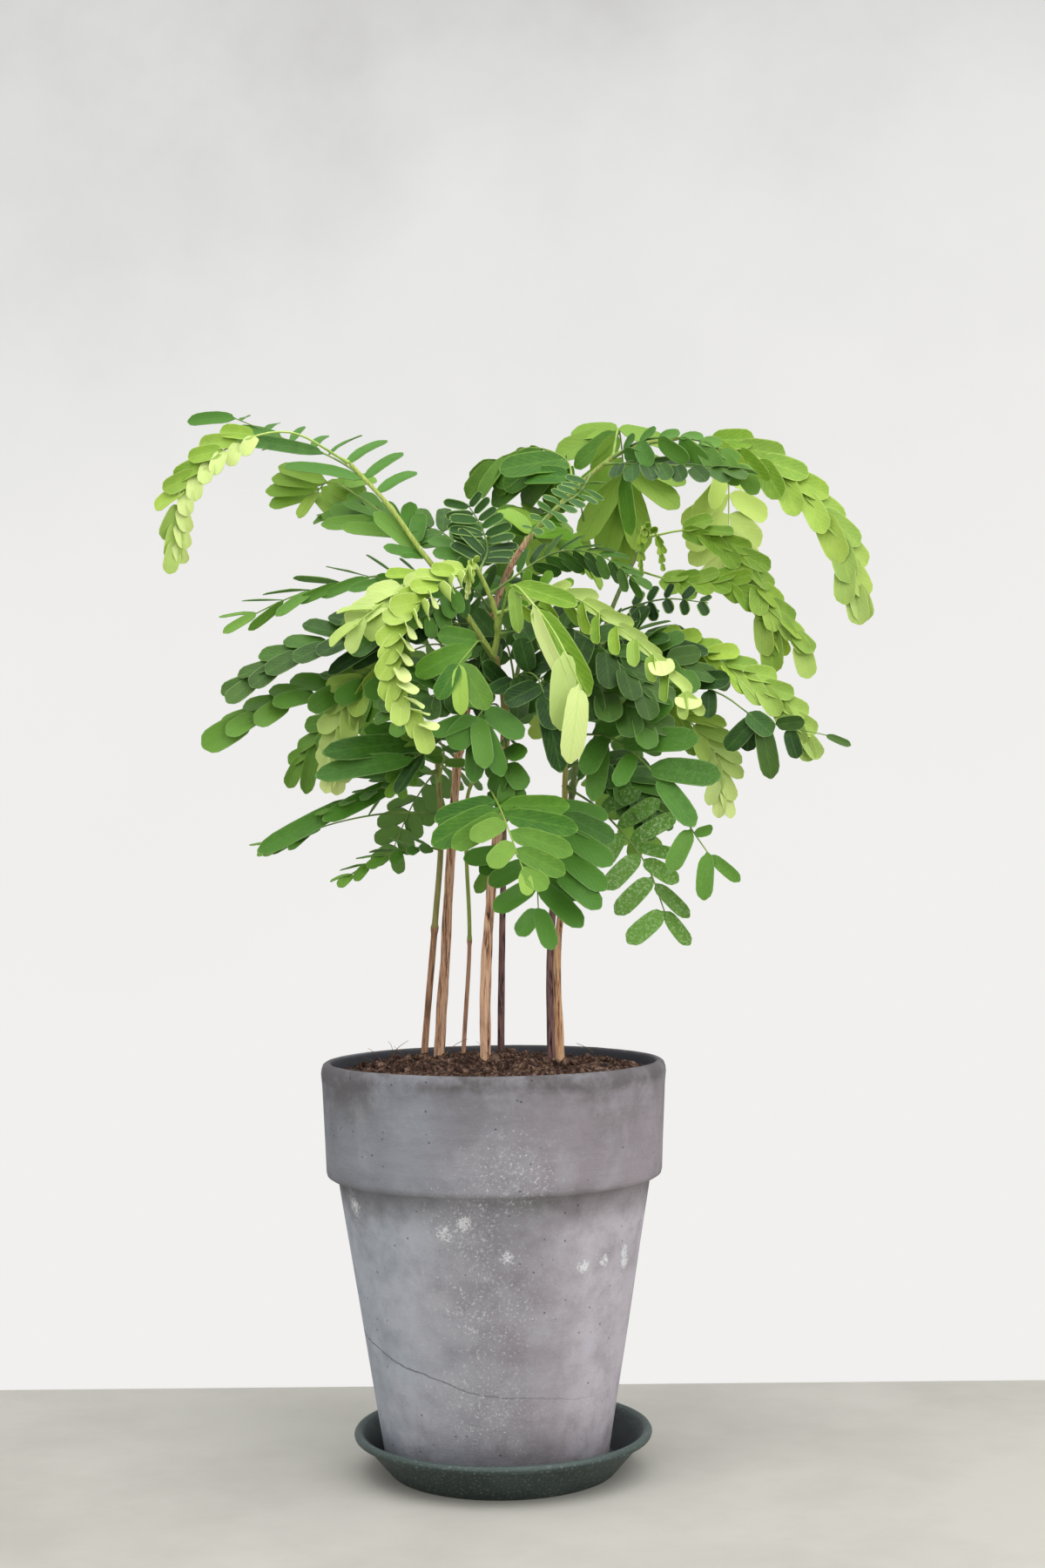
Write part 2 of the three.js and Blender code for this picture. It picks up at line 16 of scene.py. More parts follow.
import bpy
import numpy as np
from bpy.types import Material, Node, NodeSocket, NodeTree, Object
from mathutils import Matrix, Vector, noise

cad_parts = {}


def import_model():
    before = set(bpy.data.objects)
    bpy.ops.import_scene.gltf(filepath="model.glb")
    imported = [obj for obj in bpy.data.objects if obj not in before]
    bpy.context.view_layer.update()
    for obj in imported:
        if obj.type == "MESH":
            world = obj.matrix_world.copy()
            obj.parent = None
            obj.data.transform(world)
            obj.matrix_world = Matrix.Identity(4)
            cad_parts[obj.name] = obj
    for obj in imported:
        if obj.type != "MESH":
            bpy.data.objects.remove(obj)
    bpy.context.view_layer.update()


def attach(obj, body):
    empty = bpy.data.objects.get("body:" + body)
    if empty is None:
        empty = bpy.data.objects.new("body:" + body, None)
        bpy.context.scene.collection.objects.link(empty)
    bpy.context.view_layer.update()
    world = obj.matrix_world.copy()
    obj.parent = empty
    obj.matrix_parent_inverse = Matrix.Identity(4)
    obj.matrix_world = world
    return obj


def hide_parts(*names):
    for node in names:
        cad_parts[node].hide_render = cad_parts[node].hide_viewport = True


LOG = logging.getLogger("tamarind")
MM = 0.001
BODY = "root"
# Place of the pot's axis along X in millimetres
POT_X = -2.6

Point = tuple[float, float, float]
Profile = Sequence[tuple[float, float]]

# Sockets of a colour mix, which share their names with those of the other kinds of mix
COLOUR_A = 6
COLOUR_B = 7


class Age(Enum):
    """How old a frond's leaflets are, which sets their colour."""

    MATURE = "mature"
    DARK = "dark"
    MID = "mid"
    LIME = "lime"
    PALE = "pale"


class Wood(Enum):
    """The skin that a stem has, by the record's slot for it."""

    BARK = "bark"
    GREEN = "green_stem"
    DARK = "dark_bark"


def srgb(colour: str) -> tuple[float, float, float, float]:
    """Turns an sRGB hex colour to linear.

    Args:
        colour: The colour, such as "#80807e".

    Returns:
        Linear red, green and blue, and an alpha of 1.
    """
    parts = [int(colour[i : i + 2], 16) / 255 for i in (1, 3, 5)]
    linear = [p / 12.92 if p <= 0.04045 else ((p + 0.055) / 1.055) ** 2.4 for p in parts]
    return (linear[0], linear[1], linear[2], 1.0)


def feed(tree: NodeTree, node: Node, inputs: dict[str | int, object]) -> None:
    """Sets or links a node's inputs.

    Args:
        tree: The tree of a material or of the world that holds the node.
        node: The node.
        inputs: What each input gets, by its name or place: a value, a colour such as "#a0b0c0",
            the socket that feeds it, or a node, which stands for the first of its outputs in use.
    """
    for socket, value in inputs.items():
        if isinstance(value, str):
            value = srgb(value)
        if isinstance(value, Node):
            value = next(output for output in value.outputs if output.enabled)
        if isinstance(value, NodeSocket):
            tree.links.new(value, node.inputs[socket])
        else:
            node.inputs[socket].default_value = value


def add_node(
    tree: NodeTree,
    kind: str,
    inputs: dict[str | int, object] | None = None,
    stops: Sequence[tuple[float, str]] = (),
    **settings: object,
) -> Node:
    """Adds a shader node with its settings, its values and its links.

    Args:
        tree: The tree of a material or of the world.
        kind: The node's type without its prefix, such as "Math".
        inputs: What each input gets, as feed takes it.
        stops: Places and hex colours of a colour ramp.
        settings: The node's own settings.

    Returns:
        The new node.
    """
    node = tree.nodes.new(f"ShaderNode{kind}")
    for name, setting in settings.items():
        setattr(node, name, setting)
    for place, colour in stops:
        spare = node.color_ramp.elements.new(place)
        spare.color = srgb(colour)
    if stops:
        node.color_ramp.elements.remove(node.color_ramp.elements[0])
        node.color_ramp.elements.remove(node.color_ramp.elements[-1])
    feed(tree, node, inputs or {})
    return node


def new_surface(name: str, **constants: object) -> tuple[Material, NodeTree, Node]:
    """Makes a material whose one shader has its constant values on its own sockets.

    Args:
        name: The material's name.
        constants: Values of the shader's sockets, with _ for a space.

    Returns:
        The material, its tree and its shader.
    """
    material = bpy.data.materials.new(name)
    material.use_nodes = True
    tree = material.node_tree
    tree.nodes.clear()
    values = {socket.replace("_", " "): value for socket, value in constants.items()}
    shader = add_node(tree, "BsdfPrincipled", values)
    add_node(tree, "OutputMaterial", {"Surface": shader})
    return material, tree, shader


def deselect_all() -> None:
    """Leaves nothing selected, so that an operator acts only on what is chosen next."""
    bpy.ops.object.select_all(action="DESELECT")


def choose(*pieces: Object) -> None:
    """Selects only these pieces, with the first one active.

    Args:
        pieces: The pieces to select.
    """
    deselect_all()
    for piece in pieces:
        piece.select_set(True)
    bpy.context.view_layer.objects.active = pieces[0]


def settle(piece: Object) -> None:
    """Moves a piece's place, turn and size into its mesh."""
    choose(piece)
    bpy.ops.object.transform_apply(location=True, rotation=True, scale=True)


def joined(name: str, pieces: Sequence[Object]) -> Object:
    """Joins pieces to one.

    Args:
        name: The whole piece's name.
        pieces: The pieces, of which the first one stays.

    Returns:
        The whole piece.
    """
    choose(*pieces)
    if len(pieces) > 1:
        bpy.ops.object.join()
    whole = bpy.context.view_layer.objects.active
    whole.name = name
    whole.data.name = name
    return whole


def smooth(piece: Object, angle: float = 40) -> None:
    """Shades a piece smooth, with an edge where its faces meet at more than the angle in degrees."""
    choose(piece)
    bpy.ops.object.shade_smooth_by_angle(angle=math.radians(angle))


def place_on_part(piece: Object, slot: str, *nodes: str) -> None:
    """Lets a piece ride on the part and stand for its solids.

    Args:
        piece: The finished piece.
        slot: The record's material slot, which is not used.
        nodes: The solids that it stands for.
    """
    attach(piece, BODY)
    if nodes:
        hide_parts(*nodes)
    LOG.info("%s: %d faces", piece.name, len(piece.data.polygons))


def noise_at(point: Vector, scale: float, stretch: float = 1.0) -> float:
    """Smooth noise from -1 to 1.

    Args:
        point: A place in metres.
        scale: Features for each metre.
        stretch: How many times longer the features are upward.

    Returns:
        The noise.
    """
    return noise.noise(Vector((point.x * scale, point.y * scale, point.z * scale / stretch)))


class Route:
    """A smooth curve through points in millimetres, measured along its length."""

    STEPS = 24

    def __init__(self, points: Sequence[Vector]) -> None:
        """Samples a centripetal curve through the points.

        Args:
            points: The points, at least three.
        """
        ends = [2 * points[0] - points[1], *points, 2 * points[-1] - points[-2]]
        self.samples: list[Vector] = []
        for i in range(len(points) - 1):
            self.samples += self._stretch(ends[i : i + 4], self.STEPS)
        self.samples.append(points[-1].copy())
        self.marks = [0.0]
        for one, two in zip(self.samples, self.samples[1:]):
            self.marks.append(self.marks[-1] + (two - one).length)
        self.length = self.marks[-1]

    @staticmethod
    def _stretch(corners: Sequence[Vector], steps: int) -> list[Vector]:
        """Samples the stretch between the two middle points.

        Args:
            corners: Four points, of which the stretch joins the second and the third.
            steps: How many samples to take.

        Returns:
            The samples, without the third point.
        """
        a, b, c, d = corners
        gaps = [max((q - p).length ** 0.5, 1e-4) for p, q in ((a, b), (b, c), (c, d))]
        start = (b - a) / gaps[0] - (c - a) / (gaps[0] + gaps[1]) + (c - b) / gaps[1]
        end = (c - b) / gaps[1] - (d - b) / (gaps[1] + gaps[2]) + (d - c) / gaps[2]
        start, end = start * gaps[1], end * gaps[1]
        made = []
        for i in range(steps):
            t = i / steps
            square = -3 * b + 3 * c - 2 * start - end
            cube = 2 * b - 2 * c + start + end
            made.append(b + start * t + square * t * t + cube * t**3)
        return made

    def at(self, distance: float) -> Vector:
        """The point that lies a distance along the curve.

        Args:
            distance: Length along the curve in millimetres.

        Returns:
            The point.
        """
        distance = min(max(distance, 0.0), self.length)
        i = int(np.searchsorted(self.marks, distance))
        i = min(max(i, 1), len(self.marks) - 1)
        gap = self.marks[i] - self.marks[i - 1]
        share = (distance - self.marks[i - 1]) / gap if gap > 0 else 0.0
        return self.samples[i - 1].lerp(self.samples[i], share)

    def tangent(self, distance: float) -> Vector:
        """The curve's direction at a distance along it."""
        step = 0.5
        return (self.at(distance + step) - self.at(distance - step)).normalized()

    def nearest(self, point: Vector) -> float:
        """The distance along the curve at which it comes nearest to a point."""
        i = min(range(len(self.samples)), key=lambda k: (self.samples[k] - point).length_squared)
        return self.marks[i]


def tube(
    name: str,
    points: Sequence[Vector],
    radii: Sequence[float],
    material: Material,
    roundness: int = 2,
) -> Object:
    """Draws a curve with a round section and makes it a closed mesh.

    Args:
        name: The piece's name.
        points: Points of its middle line in millimetres.
        radii: Its radius in millimetres at each point.
        material: Its finish.
        roundness: Steps of its section.

    Returns:
        The tube.
    """
    line = bpy.data.curves.new(name, "CURVE")
    line.dimensions = "3D"
    line.bevel_depth = MM
    line.bevel_resolution = roundness
    line.use_fill_caps = True
    spline = line.splines.new("POLY")
    spline.points.add(len(points) - 1)
    for station, point, radius in zip(spline.points, points, radii):
        station.co = (*(point * MM), 1)
        station.radius = radius
    piece = bpy.data.objects.new(name, line)
    bpy.context.scene.collection.objects.link(piece)
    choose(piece)
    bpy.ops.object.convert(target="MESH")
    piece = bpy.context.view_layer.objects.active
    bpy.ops.object.mode_set(mode="EDIT")
    bpy.ops.mesh.select_all(action="SELECT")
    bpy.ops.mesh.remove_doubles(threshold=0.02 * MM)
    bpy.ops.mesh.normals_make_consistent(inside=False)
    bpy.ops.object.mode_set(mode="OBJECT")
    piece.data.materials.append(material)
    smooth(piece, 60)
    return piece


def turned_shell(name: str, profile: Profile, sides: int, axis_x: float) -> Object:
    """Raises a turned piece ring by ring from a circle, by extruding and resizing its edge.

    Args:
        name: The piece's name.
        profile: Radius and height of each ring in millimetres. Where the last ring is the first
            one again, the wall closes on itself. Otherwise both ends are capped.
        sides: Points on each ring.
        axis_x: Place of the axis along X in millimetres.

    Returns:
        The closed piece.
    """
    loops = profile[0] == profile[-1]
    radius, height = profile[0]
    bpy.ops.mesh.primitive_circle_add(
        vertices=sides, radius=radius * MM, fill_type="NOTHING" if loops else "NGON",
        location=(axis_x * MM, 0, height * MM),
    )
    shell = bpy.context.view_layer.objects.active
    shell.name = name
    settle(shell)
    bpy.ops.object.mode_set(mode="EDIT")
    bpy.ops.mesh.select_mode(type="EDGE")
    bpy.ops.mesh.select_all(action="SELECT")
    if not loops:
        bpy.ops.mesh.region_to_loop()
    for (radius, height), (wider, higher) in zip(profile, profile[1:]):
        bpy.ops.mesh.extrude_edges_move(TRANSFORM_OT_translate={"value": (0, 0, (higher - height) * MM)})
        share = wider / radius
        middle = (axis_x * MM, 0, higher * MM)
        bpy.ops.transform.resize(value=(share, share, 1), center_override=middle)
    if not loops:
        bpy.ops.mesh.edge_face_add()
    bpy.ops.mesh.select_all(action="SELECT")
    bpy.ops.mesh.remove_doubles(threshold=0.01 * MM)
    bpy.ops.mesh.normals_make_consistent(inside=False)
    bpy.ops.object.mode_set(mode="OBJECT")
    return shell


def apply_bevel(piece: Object, width: float, angle: float = 25) -> None:
    """Rounds the edges at which a piece's faces meet at more than an angle.

    Args:
        piece: The piece.
        width: Width of the rounding in millimetres.
        angle: The angle in degrees.
    """
    choose(piece)
    bevel = piece.modifiers.new("rounding", "BEVEL")
    bevel.width = width * MM
    bevel.segments = 3
    bevel.limit_method = "ANGLE"
    bevel.angle_limit = math.radians(angle)
    bpy.ops.object.modifier_apply(modifier=bevel.name)


def push_out(piece: Object, depth: Callable[[Vector], float]) -> None:
    """Moves each point of a piece along its normal.

    Args:
        piece: The piece.
        depth: Gives the move in millimetres at a place in metres.
    """
    mesh = piece.data
    moves = [point.normal * depth(point.co) * MM for point in mesh.vertices]
    for point, move in zip(mesh.vertices, moves):
        point.co += move
    mesh.update()


@dataclass(frozen=True)
class LeafFinish:
    """A tamarind leaflet: a thin waxy blade with a hair-thin pale margin and a sunken midrib.

    Light comes through the young ones, and the underside is paler and duller. Each blade also carries
    painted light and shade.
    """

    name: str
    # The first colour is the blade in painted shade, the second the blade in painted light
    blade: str
    sunlit: str
    young: str
    under: str
    margin: str
    vein: str
    roughness: float
    translucency: float
    rim: float = 0.55
    rim_start: float = 0.44
    mottle: str = "#a9c58c"

    def build(self) -> Material:
        """Makes the material.

        Returns:
            The material.
        """
        material, tree, shader = new_surface(
            self.name, Subsurface_Weight=self.translucency, Subsurface_Scale=0.0009,
            Subsurface_Radius=(0.9, 1.0, 0.35), Specular_IOR_Level=0.34,
        )
        marks = add_node(tree, "Attribute", attribute_name="leaf")
        parts = add_node(tree, "SeparateColor", {"Color": marks})
        tone, youth, under = parts.outputs
        places = add_node(tree, "UVMap", uv_map="leaf_uv")
        split = add_node(tree, "SeparateXYZ", {"Vector": places})
        offset = add_node(tree, "Math", {0: split.outputs["X"], 1: 0.5}, operation="SUBTRACT")
        across = add_node(tree, "Math", {0: offset}, operation="ABSOLUTE")
        along = split.outputs["Y"]

        midrib = add_node(
            tree, "MapRange",
            {"Value": across, "From Min": 0.015, "From Max": 0.06, "To Min": 1, "To Max": 0},
        )
        side_edge = add_node(
            tree, "MapRange",
            {"Value": across, "From Min": self.rim_start, "From Max": self.rim_start + 0.05},
        )
        tip_edge = add_node(
            tree, "MapRange",
            {"Value": along, "From Min": 0.5 + self.rim_start, "From Max": 0.55 + self.rim_start},
        )
        edge = add_node(tree, "Math", {0: side_edge, 1: tip_edge}, operation="MAXIMUM")

        # Side veins leave the midrib every 1.6 mm or so and lean forward
        lean = add_node(tree, "Math", {0: across, 1: -0.55, 2: along}, operation="MULTIPLY_ADD")
        ripple = add_node(tree, "Math", {0: lean, 1: 62.8}, operation="MULTIPLY")
        wave = add_node(tree, "Math", {0: ripple}, operation="SINE")
        veins = add_node(tree, "MapRange", {"Value": wave, "From Min": 0.55, "From Max": 1})

        place = add_node(tree, "TexCoord").outputs["Object"]
        cloud = add_node(tree, "TexNoise", {"Vector": place, "Scale": 260, "Detail": 3, "Roughness": 0.6})
        fine = add_node(tree, "TexNoise", {"Vector": place, "Scale": 1500, "Detail": 2, "Roughness": 0.5})
        # Painted light and shade: each leaflet's share of light, with soft clouds, mixes the blade from its
        # shaded colour toward its sunlit one
        shade = add_node(tree, "Math", {0: cloud, 1: 0.75, 2: tone}, operation="MULTIPLY_ADD")
        shade = add_node(tree, "MapRange", {"Value": shade, "From Min": 0.34, "From Max": 1.3})
        lower = add_node(tree, "Math", {0: under, 1: 0.8}, operation="MULTIPLY")

        # Pale stippling on the few leaflets that are marked for it
        stipple = add_node(
            tree, "TexNoise", {"Vector": place, "Scale": 900, "Detail": 4, "Roughness": 0.7}
        )
        spots = add_node(tree, "MapRange", {"Value": stipple, "From Min": 0.5, "From Max": 0.62})
        spotted = add_node(tree, "Math", {0: spots, 1: marks.outputs["Alpha"]}, operation="MULTIPLY")
        rib_share = add_node(tree, "Math", {0: midrib, 1: 0.26}, operation="MULTIPLY")
        faint = add_node(tree, "Math", {0: veins, 1: 0.16, 2: rib_share}, operation="MULTIPLY_ADD")
        rim = add_node(tree, "Math", {0: edge, 1: self.rim}, operation="MULTIPLY")
        layers = (
            (shade, self.sunlit), (youth, self.young), (lower, self.under), (spotted, self.mottle),
            (faint, self.vein), (rim, self.margin),
        )
        whole = self.blade
        for share, colour in layers:
            whole = add_node(tree, "Mix", {0: share, COLOUR_A: whole, COLOUR_B: colour}, data_type="RGBA")

        dull = add_node(tree, "Math", {0: under, 1: 0.18, 2: self.roughness}, operation="MULTIPLY_ADD")
        uneven = add_node(tree, "Math", {0: fine, 1: 0.16, 2: dull}, operation="MULTIPLY_ADD")
        relief = add_node(tree, "Math", {0: fine, 1: 0.35, 2: veins}, operation="MULTIPLY_ADD")
        bump = add_node(tree, "Bump", {"Height": relief, "Strength": 0.3, "Distance": 0.12 * MM})
        feed(tree, shader, {"Base Color": whole, "Roughness": uneven, "Normal": bump})
        return material


@dataclass(frozen=True)
class BarkFinish:
    """Young tamarind bark that peels in thin strips below and is green and smooth above.

    Each strip carries a painted highlight beside a dark fissure, and the skin turns green over a
    few millimetres at the height of the first node ring.
    """

    name: str
    bark: str
    light: str
    fissure: str
    green: str
    green_light: str
    change: float
    blur: float

    def build(self) -> Material:
        """Makes the material.

        Returns:
            The material.
        """
        material, tree, shader = new_surface(self.name, Specular_IOR_Level=0.3)
        place = add_node(tree, "TexCoord").outputs["Object"]
        split = add_node(tree, "SeparateXYZ", {"Vector": place})
        # Strips are about 0.8 mm wide and 12 mm long
        strips = add_node(tree, "Mapping", {"Vector": place, "Scale": (1, 1, 0.07)})
        grain = add_node(
            tree, "TexNoise", {"Vector": strips, "Scale": 1250, "Detail": 4, "Roughness": 0.65}
        )
        wide = add_node(tree, "TexNoise", {"Vector": strips, "Scale": 420, "Detail": 3, "Roughness": 0.6})
        blotch = add_node(tree, "TexNoise", {"Vector": place, "Scale": 45, "Detail": 3, "Roughness": 0.6})
        # Painted highlight: the lightest stop lights the strips' raised grain
        body = add_node(
            tree, "ValToRGB", {"Fac": grain},
            stops=[(0.41, self.fissure), (0.47, self.bark), (0.58, self.light)],
        )
        patch = add_node(
            tree, "MapRange",
            {"Value": wide, "From Min": 0.42, "From Max": 0.62, "To Min": 0, "To Max": 0.75},
        )
        warm = add_node(tree, "Mix", {0: patch, COLOUR_A: body, COLOUR_B: self.light}, data_type="RGBA")
        skin = add_node(
            tree, "ValToRGB", {"Fac": grain}, stops=[(0.35, self.green), (0.65, self.green_light)]
        )
        ragged = add_node(
            tree, "Math", {0: blotch, 1: self.blur * MM, 2: split.outputs["Z"]}, operation="MULTIPLY_ADD"
        )
        turn = add_node(
            tree, "MapRange",
            {
                "Value": ragged, "From Min": (self.change + 0.3 * self.blur) * MM,
                "From Max": (self.change + 0.7 * self.blur) * MM,
            },
        )
        whole = add_node(tree, "Mix", {0: turn, COLOUR_A: warm, COLOUR_B: skin}, data_type="RGBA")
        rough = add_node(tree, "MapRange", {"Value": turn, "To Min": 0.8, "To Max": 0.48})
        height = add_node(tree, "Math", {0: grain, 1: wide}, operation="ADD")
        bump = add_node(tree, "Bump", {"Height": height, "Strength": 0.9, "Distance": 0.8 * MM})
        feed(tree, shader, {"Base Color": whole, "Roughness": rough, "Normal": bump})
        return material


@dataclass(frozen=True)
class StalkFinish:
    """Soft green leaf stalk with a faint bloom, paler where it is young."""

    name: str
    colour: str
    light: str

    def build(self) -> Material:
        """Makes the material.

        Returns:
            The material.
        """
        material, tree, shader = new_surface(self.name, Subsurface_Weight=0.1, Subsurface_Scale=0.0008)
        place = add_node(tree, "TexCoord").outputs["Object"]
        cloud = add_node(tree, "TexNoise", {"Vector": place, "Scale": 120, "Detail": 3, "Roughness": 0.6})
        body = add_node(tree, "ValToRGB", {"Fac": cloud}, stops=[(0.35, self.colour), (0.65, self.light)])
        rough = add_node(
            tree, "MapRange",
            {"Value": cloud, "From Min": 0.3, "From Max": 0.7, "To Min": 0.45, "To Max": 0.6},
        )
        feed(tree, shader, {"Base Color": body, "Roughness": rough})
        return material


@dataclass(frozen=True)
class ClayFinish:
    """Fired grey clay, thrown on a wheel and weathered outdoors.

    Faint level streaks come from the throwing. A chalky film and specks of lime show where water
    has dried through the wall, the rim and the foot are stained, small dark pits lie all over it
    and one thin hairline crosses the front. The film also carries painted light, paler to both sides
    of the front, and the inner wall above the compost is painted shade.
    and one thin hairline crosses the front.
    """

    name: str = "weathered_clay"
    cool: str = "#8f929a"
    warm: str = "#988f95"
    dark: str = "#5a5657"
    film: tuple[str, str] = ("#b0b5bf", "#c4bdc5")
    chalk: str = "#e6e6e8"
    haze: str = "#a9a9ae"
    pit: str = "#35343a"
    crack: str = "#3c3c42"
    # Colour of the painted shade on the inner wall
    inside: str = "#404147"
    # Middle and radius in millimetres of each crusted patch
    patches: tuple[tuple[Point, float], ...] = (
        ((32.5, -48, 90), 4.2), ((40.5, -41, 91), 3.6), ((49.5, -28.5, 88), 5), ((49, -30, 93), 4),
        ((-59, -31, 111), 5.5), ((-22, -60, 105), 4.5), ((-14, -62, 109), 4.5), ((3, -60, 96), 3.5),
    )
    # How stained the wall is at each height in millimetres
    stains: tuple[tuple[float, float], ...] = (
        (4, 0.75), (16, 0.42), (34, 0.14), (70, 0.12), (100, 0.34), (117, 0.6), (121, 0.34), (128, 0.12),
        (148, 0.3), (158, 0.5), (161.5, 0.95),
    )
    # Middle and radius in millimetres of each place with more bloom, as seen on the front
    blooms: tuple[tuple[Point, float], ...] = (
        ((-12, -64, 106), 30), ((-6, -58, 76), 36), ((-8, -50, 40), 34), ((4, -68, 126), 30),
        ((33, -48, 92), 8), ((42, -40, 93), 8), ((50, -29, 91), 9), ((-58, -30, 112), 10),
    )

    def build(self) -> Material:
        """Makes the material.

        Returns:
            The material.
        """
        material, tree, shader = new_surface(self.name, Specular_IOR_Level=0.28)
        place = add_node(tree, "TexCoord").outputs["Object"]
        split = add_node(tree, "SeparateXYZ", {"Vector": place})

        # Throwing streaks: about 1 mm high and several centimetres long
        level = add_node(
            tree, "Mapping", {"Vector": place, "Scale": (0.16, 0.16, 1), "Rotation": (0.02, 0.03, 0)}
        )
        streak = add_node(
            tree, "TexNoise", {"Vector": level, "Scale": 260, "Detail": 6, "Roughness": 0.7}
        )
        cloud = add_node(tree, "TexNoise", {"Vector": place, "Scale": 24, "Detail": 6, "Roughness": 0.62})
        grit = add_node(tree, "TexNoise", {"Vector": place, "Scale": 1100, "Detail": 4, "Roughness": 0.7})
        side = add_node(
            tree, "Math", {0: cloud, 1: 0.11, 2: split.outputs["X"]}, operation="MULTIPLY_ADD"
        )
        turn = add_node(tree, "MapRange", {"Value": side, "From Min": 0.005, "From Max": 0.09})
        streak_share = add_node(
            tree, "MapRange",
            {"Value": streak, "From Min": 0.45, "From Max": 0.75, "To Min": 0, "To Max": 0.3},
        )
        heights = [height / 200 for height, _ in self.stains]
        greys = ["#" + 3 * format(round(255 * share ** (1 / 2.2)), "02x") for _, share in self.stains]
        height = add_node(tree, "Math", {0: split.outputs["Z"], 1: 5.0}, operation="MULTIPLY")
        stain = add_node(tree, "ValToRGB", {"Fac": height}, stops=list(zip(heights, greys)))
        strength = add_node(
            tree, "MapRange",
            {"Value": cloud, "From Min": 0.34, "From Max": 0.66, "To Min": 0.25, "To Max": 2.1},
        )
        damp = add_node(tree, "Math", {0: stain, 1: strength}, operation="MULTIPLY", use_clamp=True)

        # The chalky film, with painted light, lies paler to both sides of the middle, below the band
        film = add_node(tree, "TexNoise", {"Vector": place, "Scale": 70, "Detail": 6, "Roughness": 0.68})
        aside = add_node(tree, "Math", {0: split.outputs["X"]}, operation="ABSOLUTE")
        painted_side_light = add_node(
            tree, "MapRange",
            {"Value": aside, "From Min": 8 * MM, "From Max": 34 * MM, "To Min": 0.12, "To Max": 0.95},
        )
        below = add_node(
            tree, "MapRange",
            {
                "Value": split.outputs["Z"], "From Min": 104 * MM, "From Max": 119 * MM, "To Min": 1,
                "To Max": 0.12,
            },
        )
        patchy = add_node(
            tree, "MapRange",
            {"Value": film, "From Min": 0.3, "From Max": 0.62, "To Min": 0.3, "To Max": 1},
        )
        wide = add_node(tree, "Math", {0: painted_side_light, 1: below}, operation="MULTIPLY")
        film_and_side_light = add_node(tree, "Math", {0: wide, 1: patchy}, operation="MULTIPLY")
        tint = add_node(
            tree, "Mix", {0: turn, COLOUR_A: self.film[0], COLOUR_B: self.film[1]}, data_type="RGBA"
        )

        # Specks of lime gather in the marked places
        gather = self._nearness(tree, place, self.blooms)
        chalk_level = add_node(tree, "Math", {0: gather, 1: 0.14, 2: film}, operation="MULTIPLY_ADD")
        veil = add_node(
            tree, "MapRange",
            {"Value": chalk_level, "From Min": 0.52, "From Max": 0.8, "To Min": 0, "To Max": 0.5},
        )
        speck = add_node(tree, "TexNoise", {"Vector": place, "Scale": 760, "Detail": 6, "Roughness": 0.85})
        patch = add_node(
            tree, "Math", {0: self._nearness(tree, place, self.patches), 1: 0.15, 2: speck},
            operation="MULTIPLY_ADD",
        )
        speck_level = add_node(tree, "Math", {0: gather, 1: 0.09, 2: patch}, operation="MULTIPLY_ADD")
        crust = add_node(
            tree, "MapRange",
            {"Value": speck_level, "From Min": 0.63, "From Max": 0.72, "To Min": 0, "To Max": 0.8},
        )

        # Pits: dark points about 0.8 mm wide and some millimetres apart
        cells = add_node(tree, "TexVoronoi", {"Vector": place, "Scale": 230, "Randomness": 1.0})
        pits = add_node(
            tree, "MapRange",
            {"Value": cells, "From Min": 0.05, "From Max": 0.13, "To Min": 1, "To Max": 0},
        )
        chance = add_node(tree, "SeparateColor", {"Color": cells.outputs["Color"]})
        rare = add_node(tree, "Math", {0: chance, 1: 0.62}, operation="GREATER_THAN")
        pit = add_node(tree, "Math", {0: pits, 1: rare}, operation="MULTIPLY")
        pit_share = add_node(tree, "Math", {0: pit, 1: 0.7}, operation="MULTIPLY")

        hairline = self._hairline(tree, split, cloud)

        # Painted shade: the inner wall above the compost, in the hollow under the rim, is dark slate
        from_axis = add_node(tree, "VectorMath", {0: place, 1: (POT_X * MM, 0, 0)}, operation="SUBTRACT")
        flat = add_node(tree, "VectorMath", {0: from_axis, 1: (1, 1, 0)}, operation="MULTIPLY")
        radius_here = add_node(tree, "VectorMath", {0: flat}, operation="LENGTH")
        inner = add_node(
            tree, "MapRange",
            {
                "Value": radius_here, "From Min": 65.6 * MM, "From Max": 66.8 * MM, "To Min": 1,
                "To Max": 0,
            },
        )
        above = add_node(
            tree, "MapRange", {"Value": split.outputs["Z"], "From Min": 150 * MM, "From Max": 152 * MM}
        )
        shaded_inner_wall = add_node(tree, "Math", {0: inner, 1: above}, operation="MULTIPLY")

        layers = (
            (turn, self.warm), (streak_share, self.dark), (damp, self.dark), (film_and_side_light, tint),
            (veil, self.haze), (crust, self.chalk), (pit_share, self.pit), (hairline, self.crack),
            (shaded_inner_wall, self.inside),
        )
        body = self.cool
        for share, colour in layers:
            body = add_node(tree, "Mix", {0: share, COLOUR_A: body, COLOUR_B: colour}, data_type="RGBA")
        rough = add_node(tree, "Math", {0: grit, 1: 0.2, 2: 0.74}, operation="MULTIPLY_ADD")
        mixed = add_node(tree, "Math", {0: streak, 1: 0.6, 2: grit}, operation="MULTIPLY_ADD")
        raised = add_node(tree, "Math", {0: crust, 1: 0.5, 2: mixed}, operation="MULTIPLY_ADD")
        sunk = add_node(tree, "Math", {0: pit, 1: -1.2, 2: raised}, operation="MULTIPLY_ADD")
        bump = add_node(tree, "Bump", {"Height": sunk, "Strength": 0.5, "Distance": 0.45 * MM})
        feed(tree, shader, {"Base Color": body, "Roughness": rough, "Normal": bump})
        return material

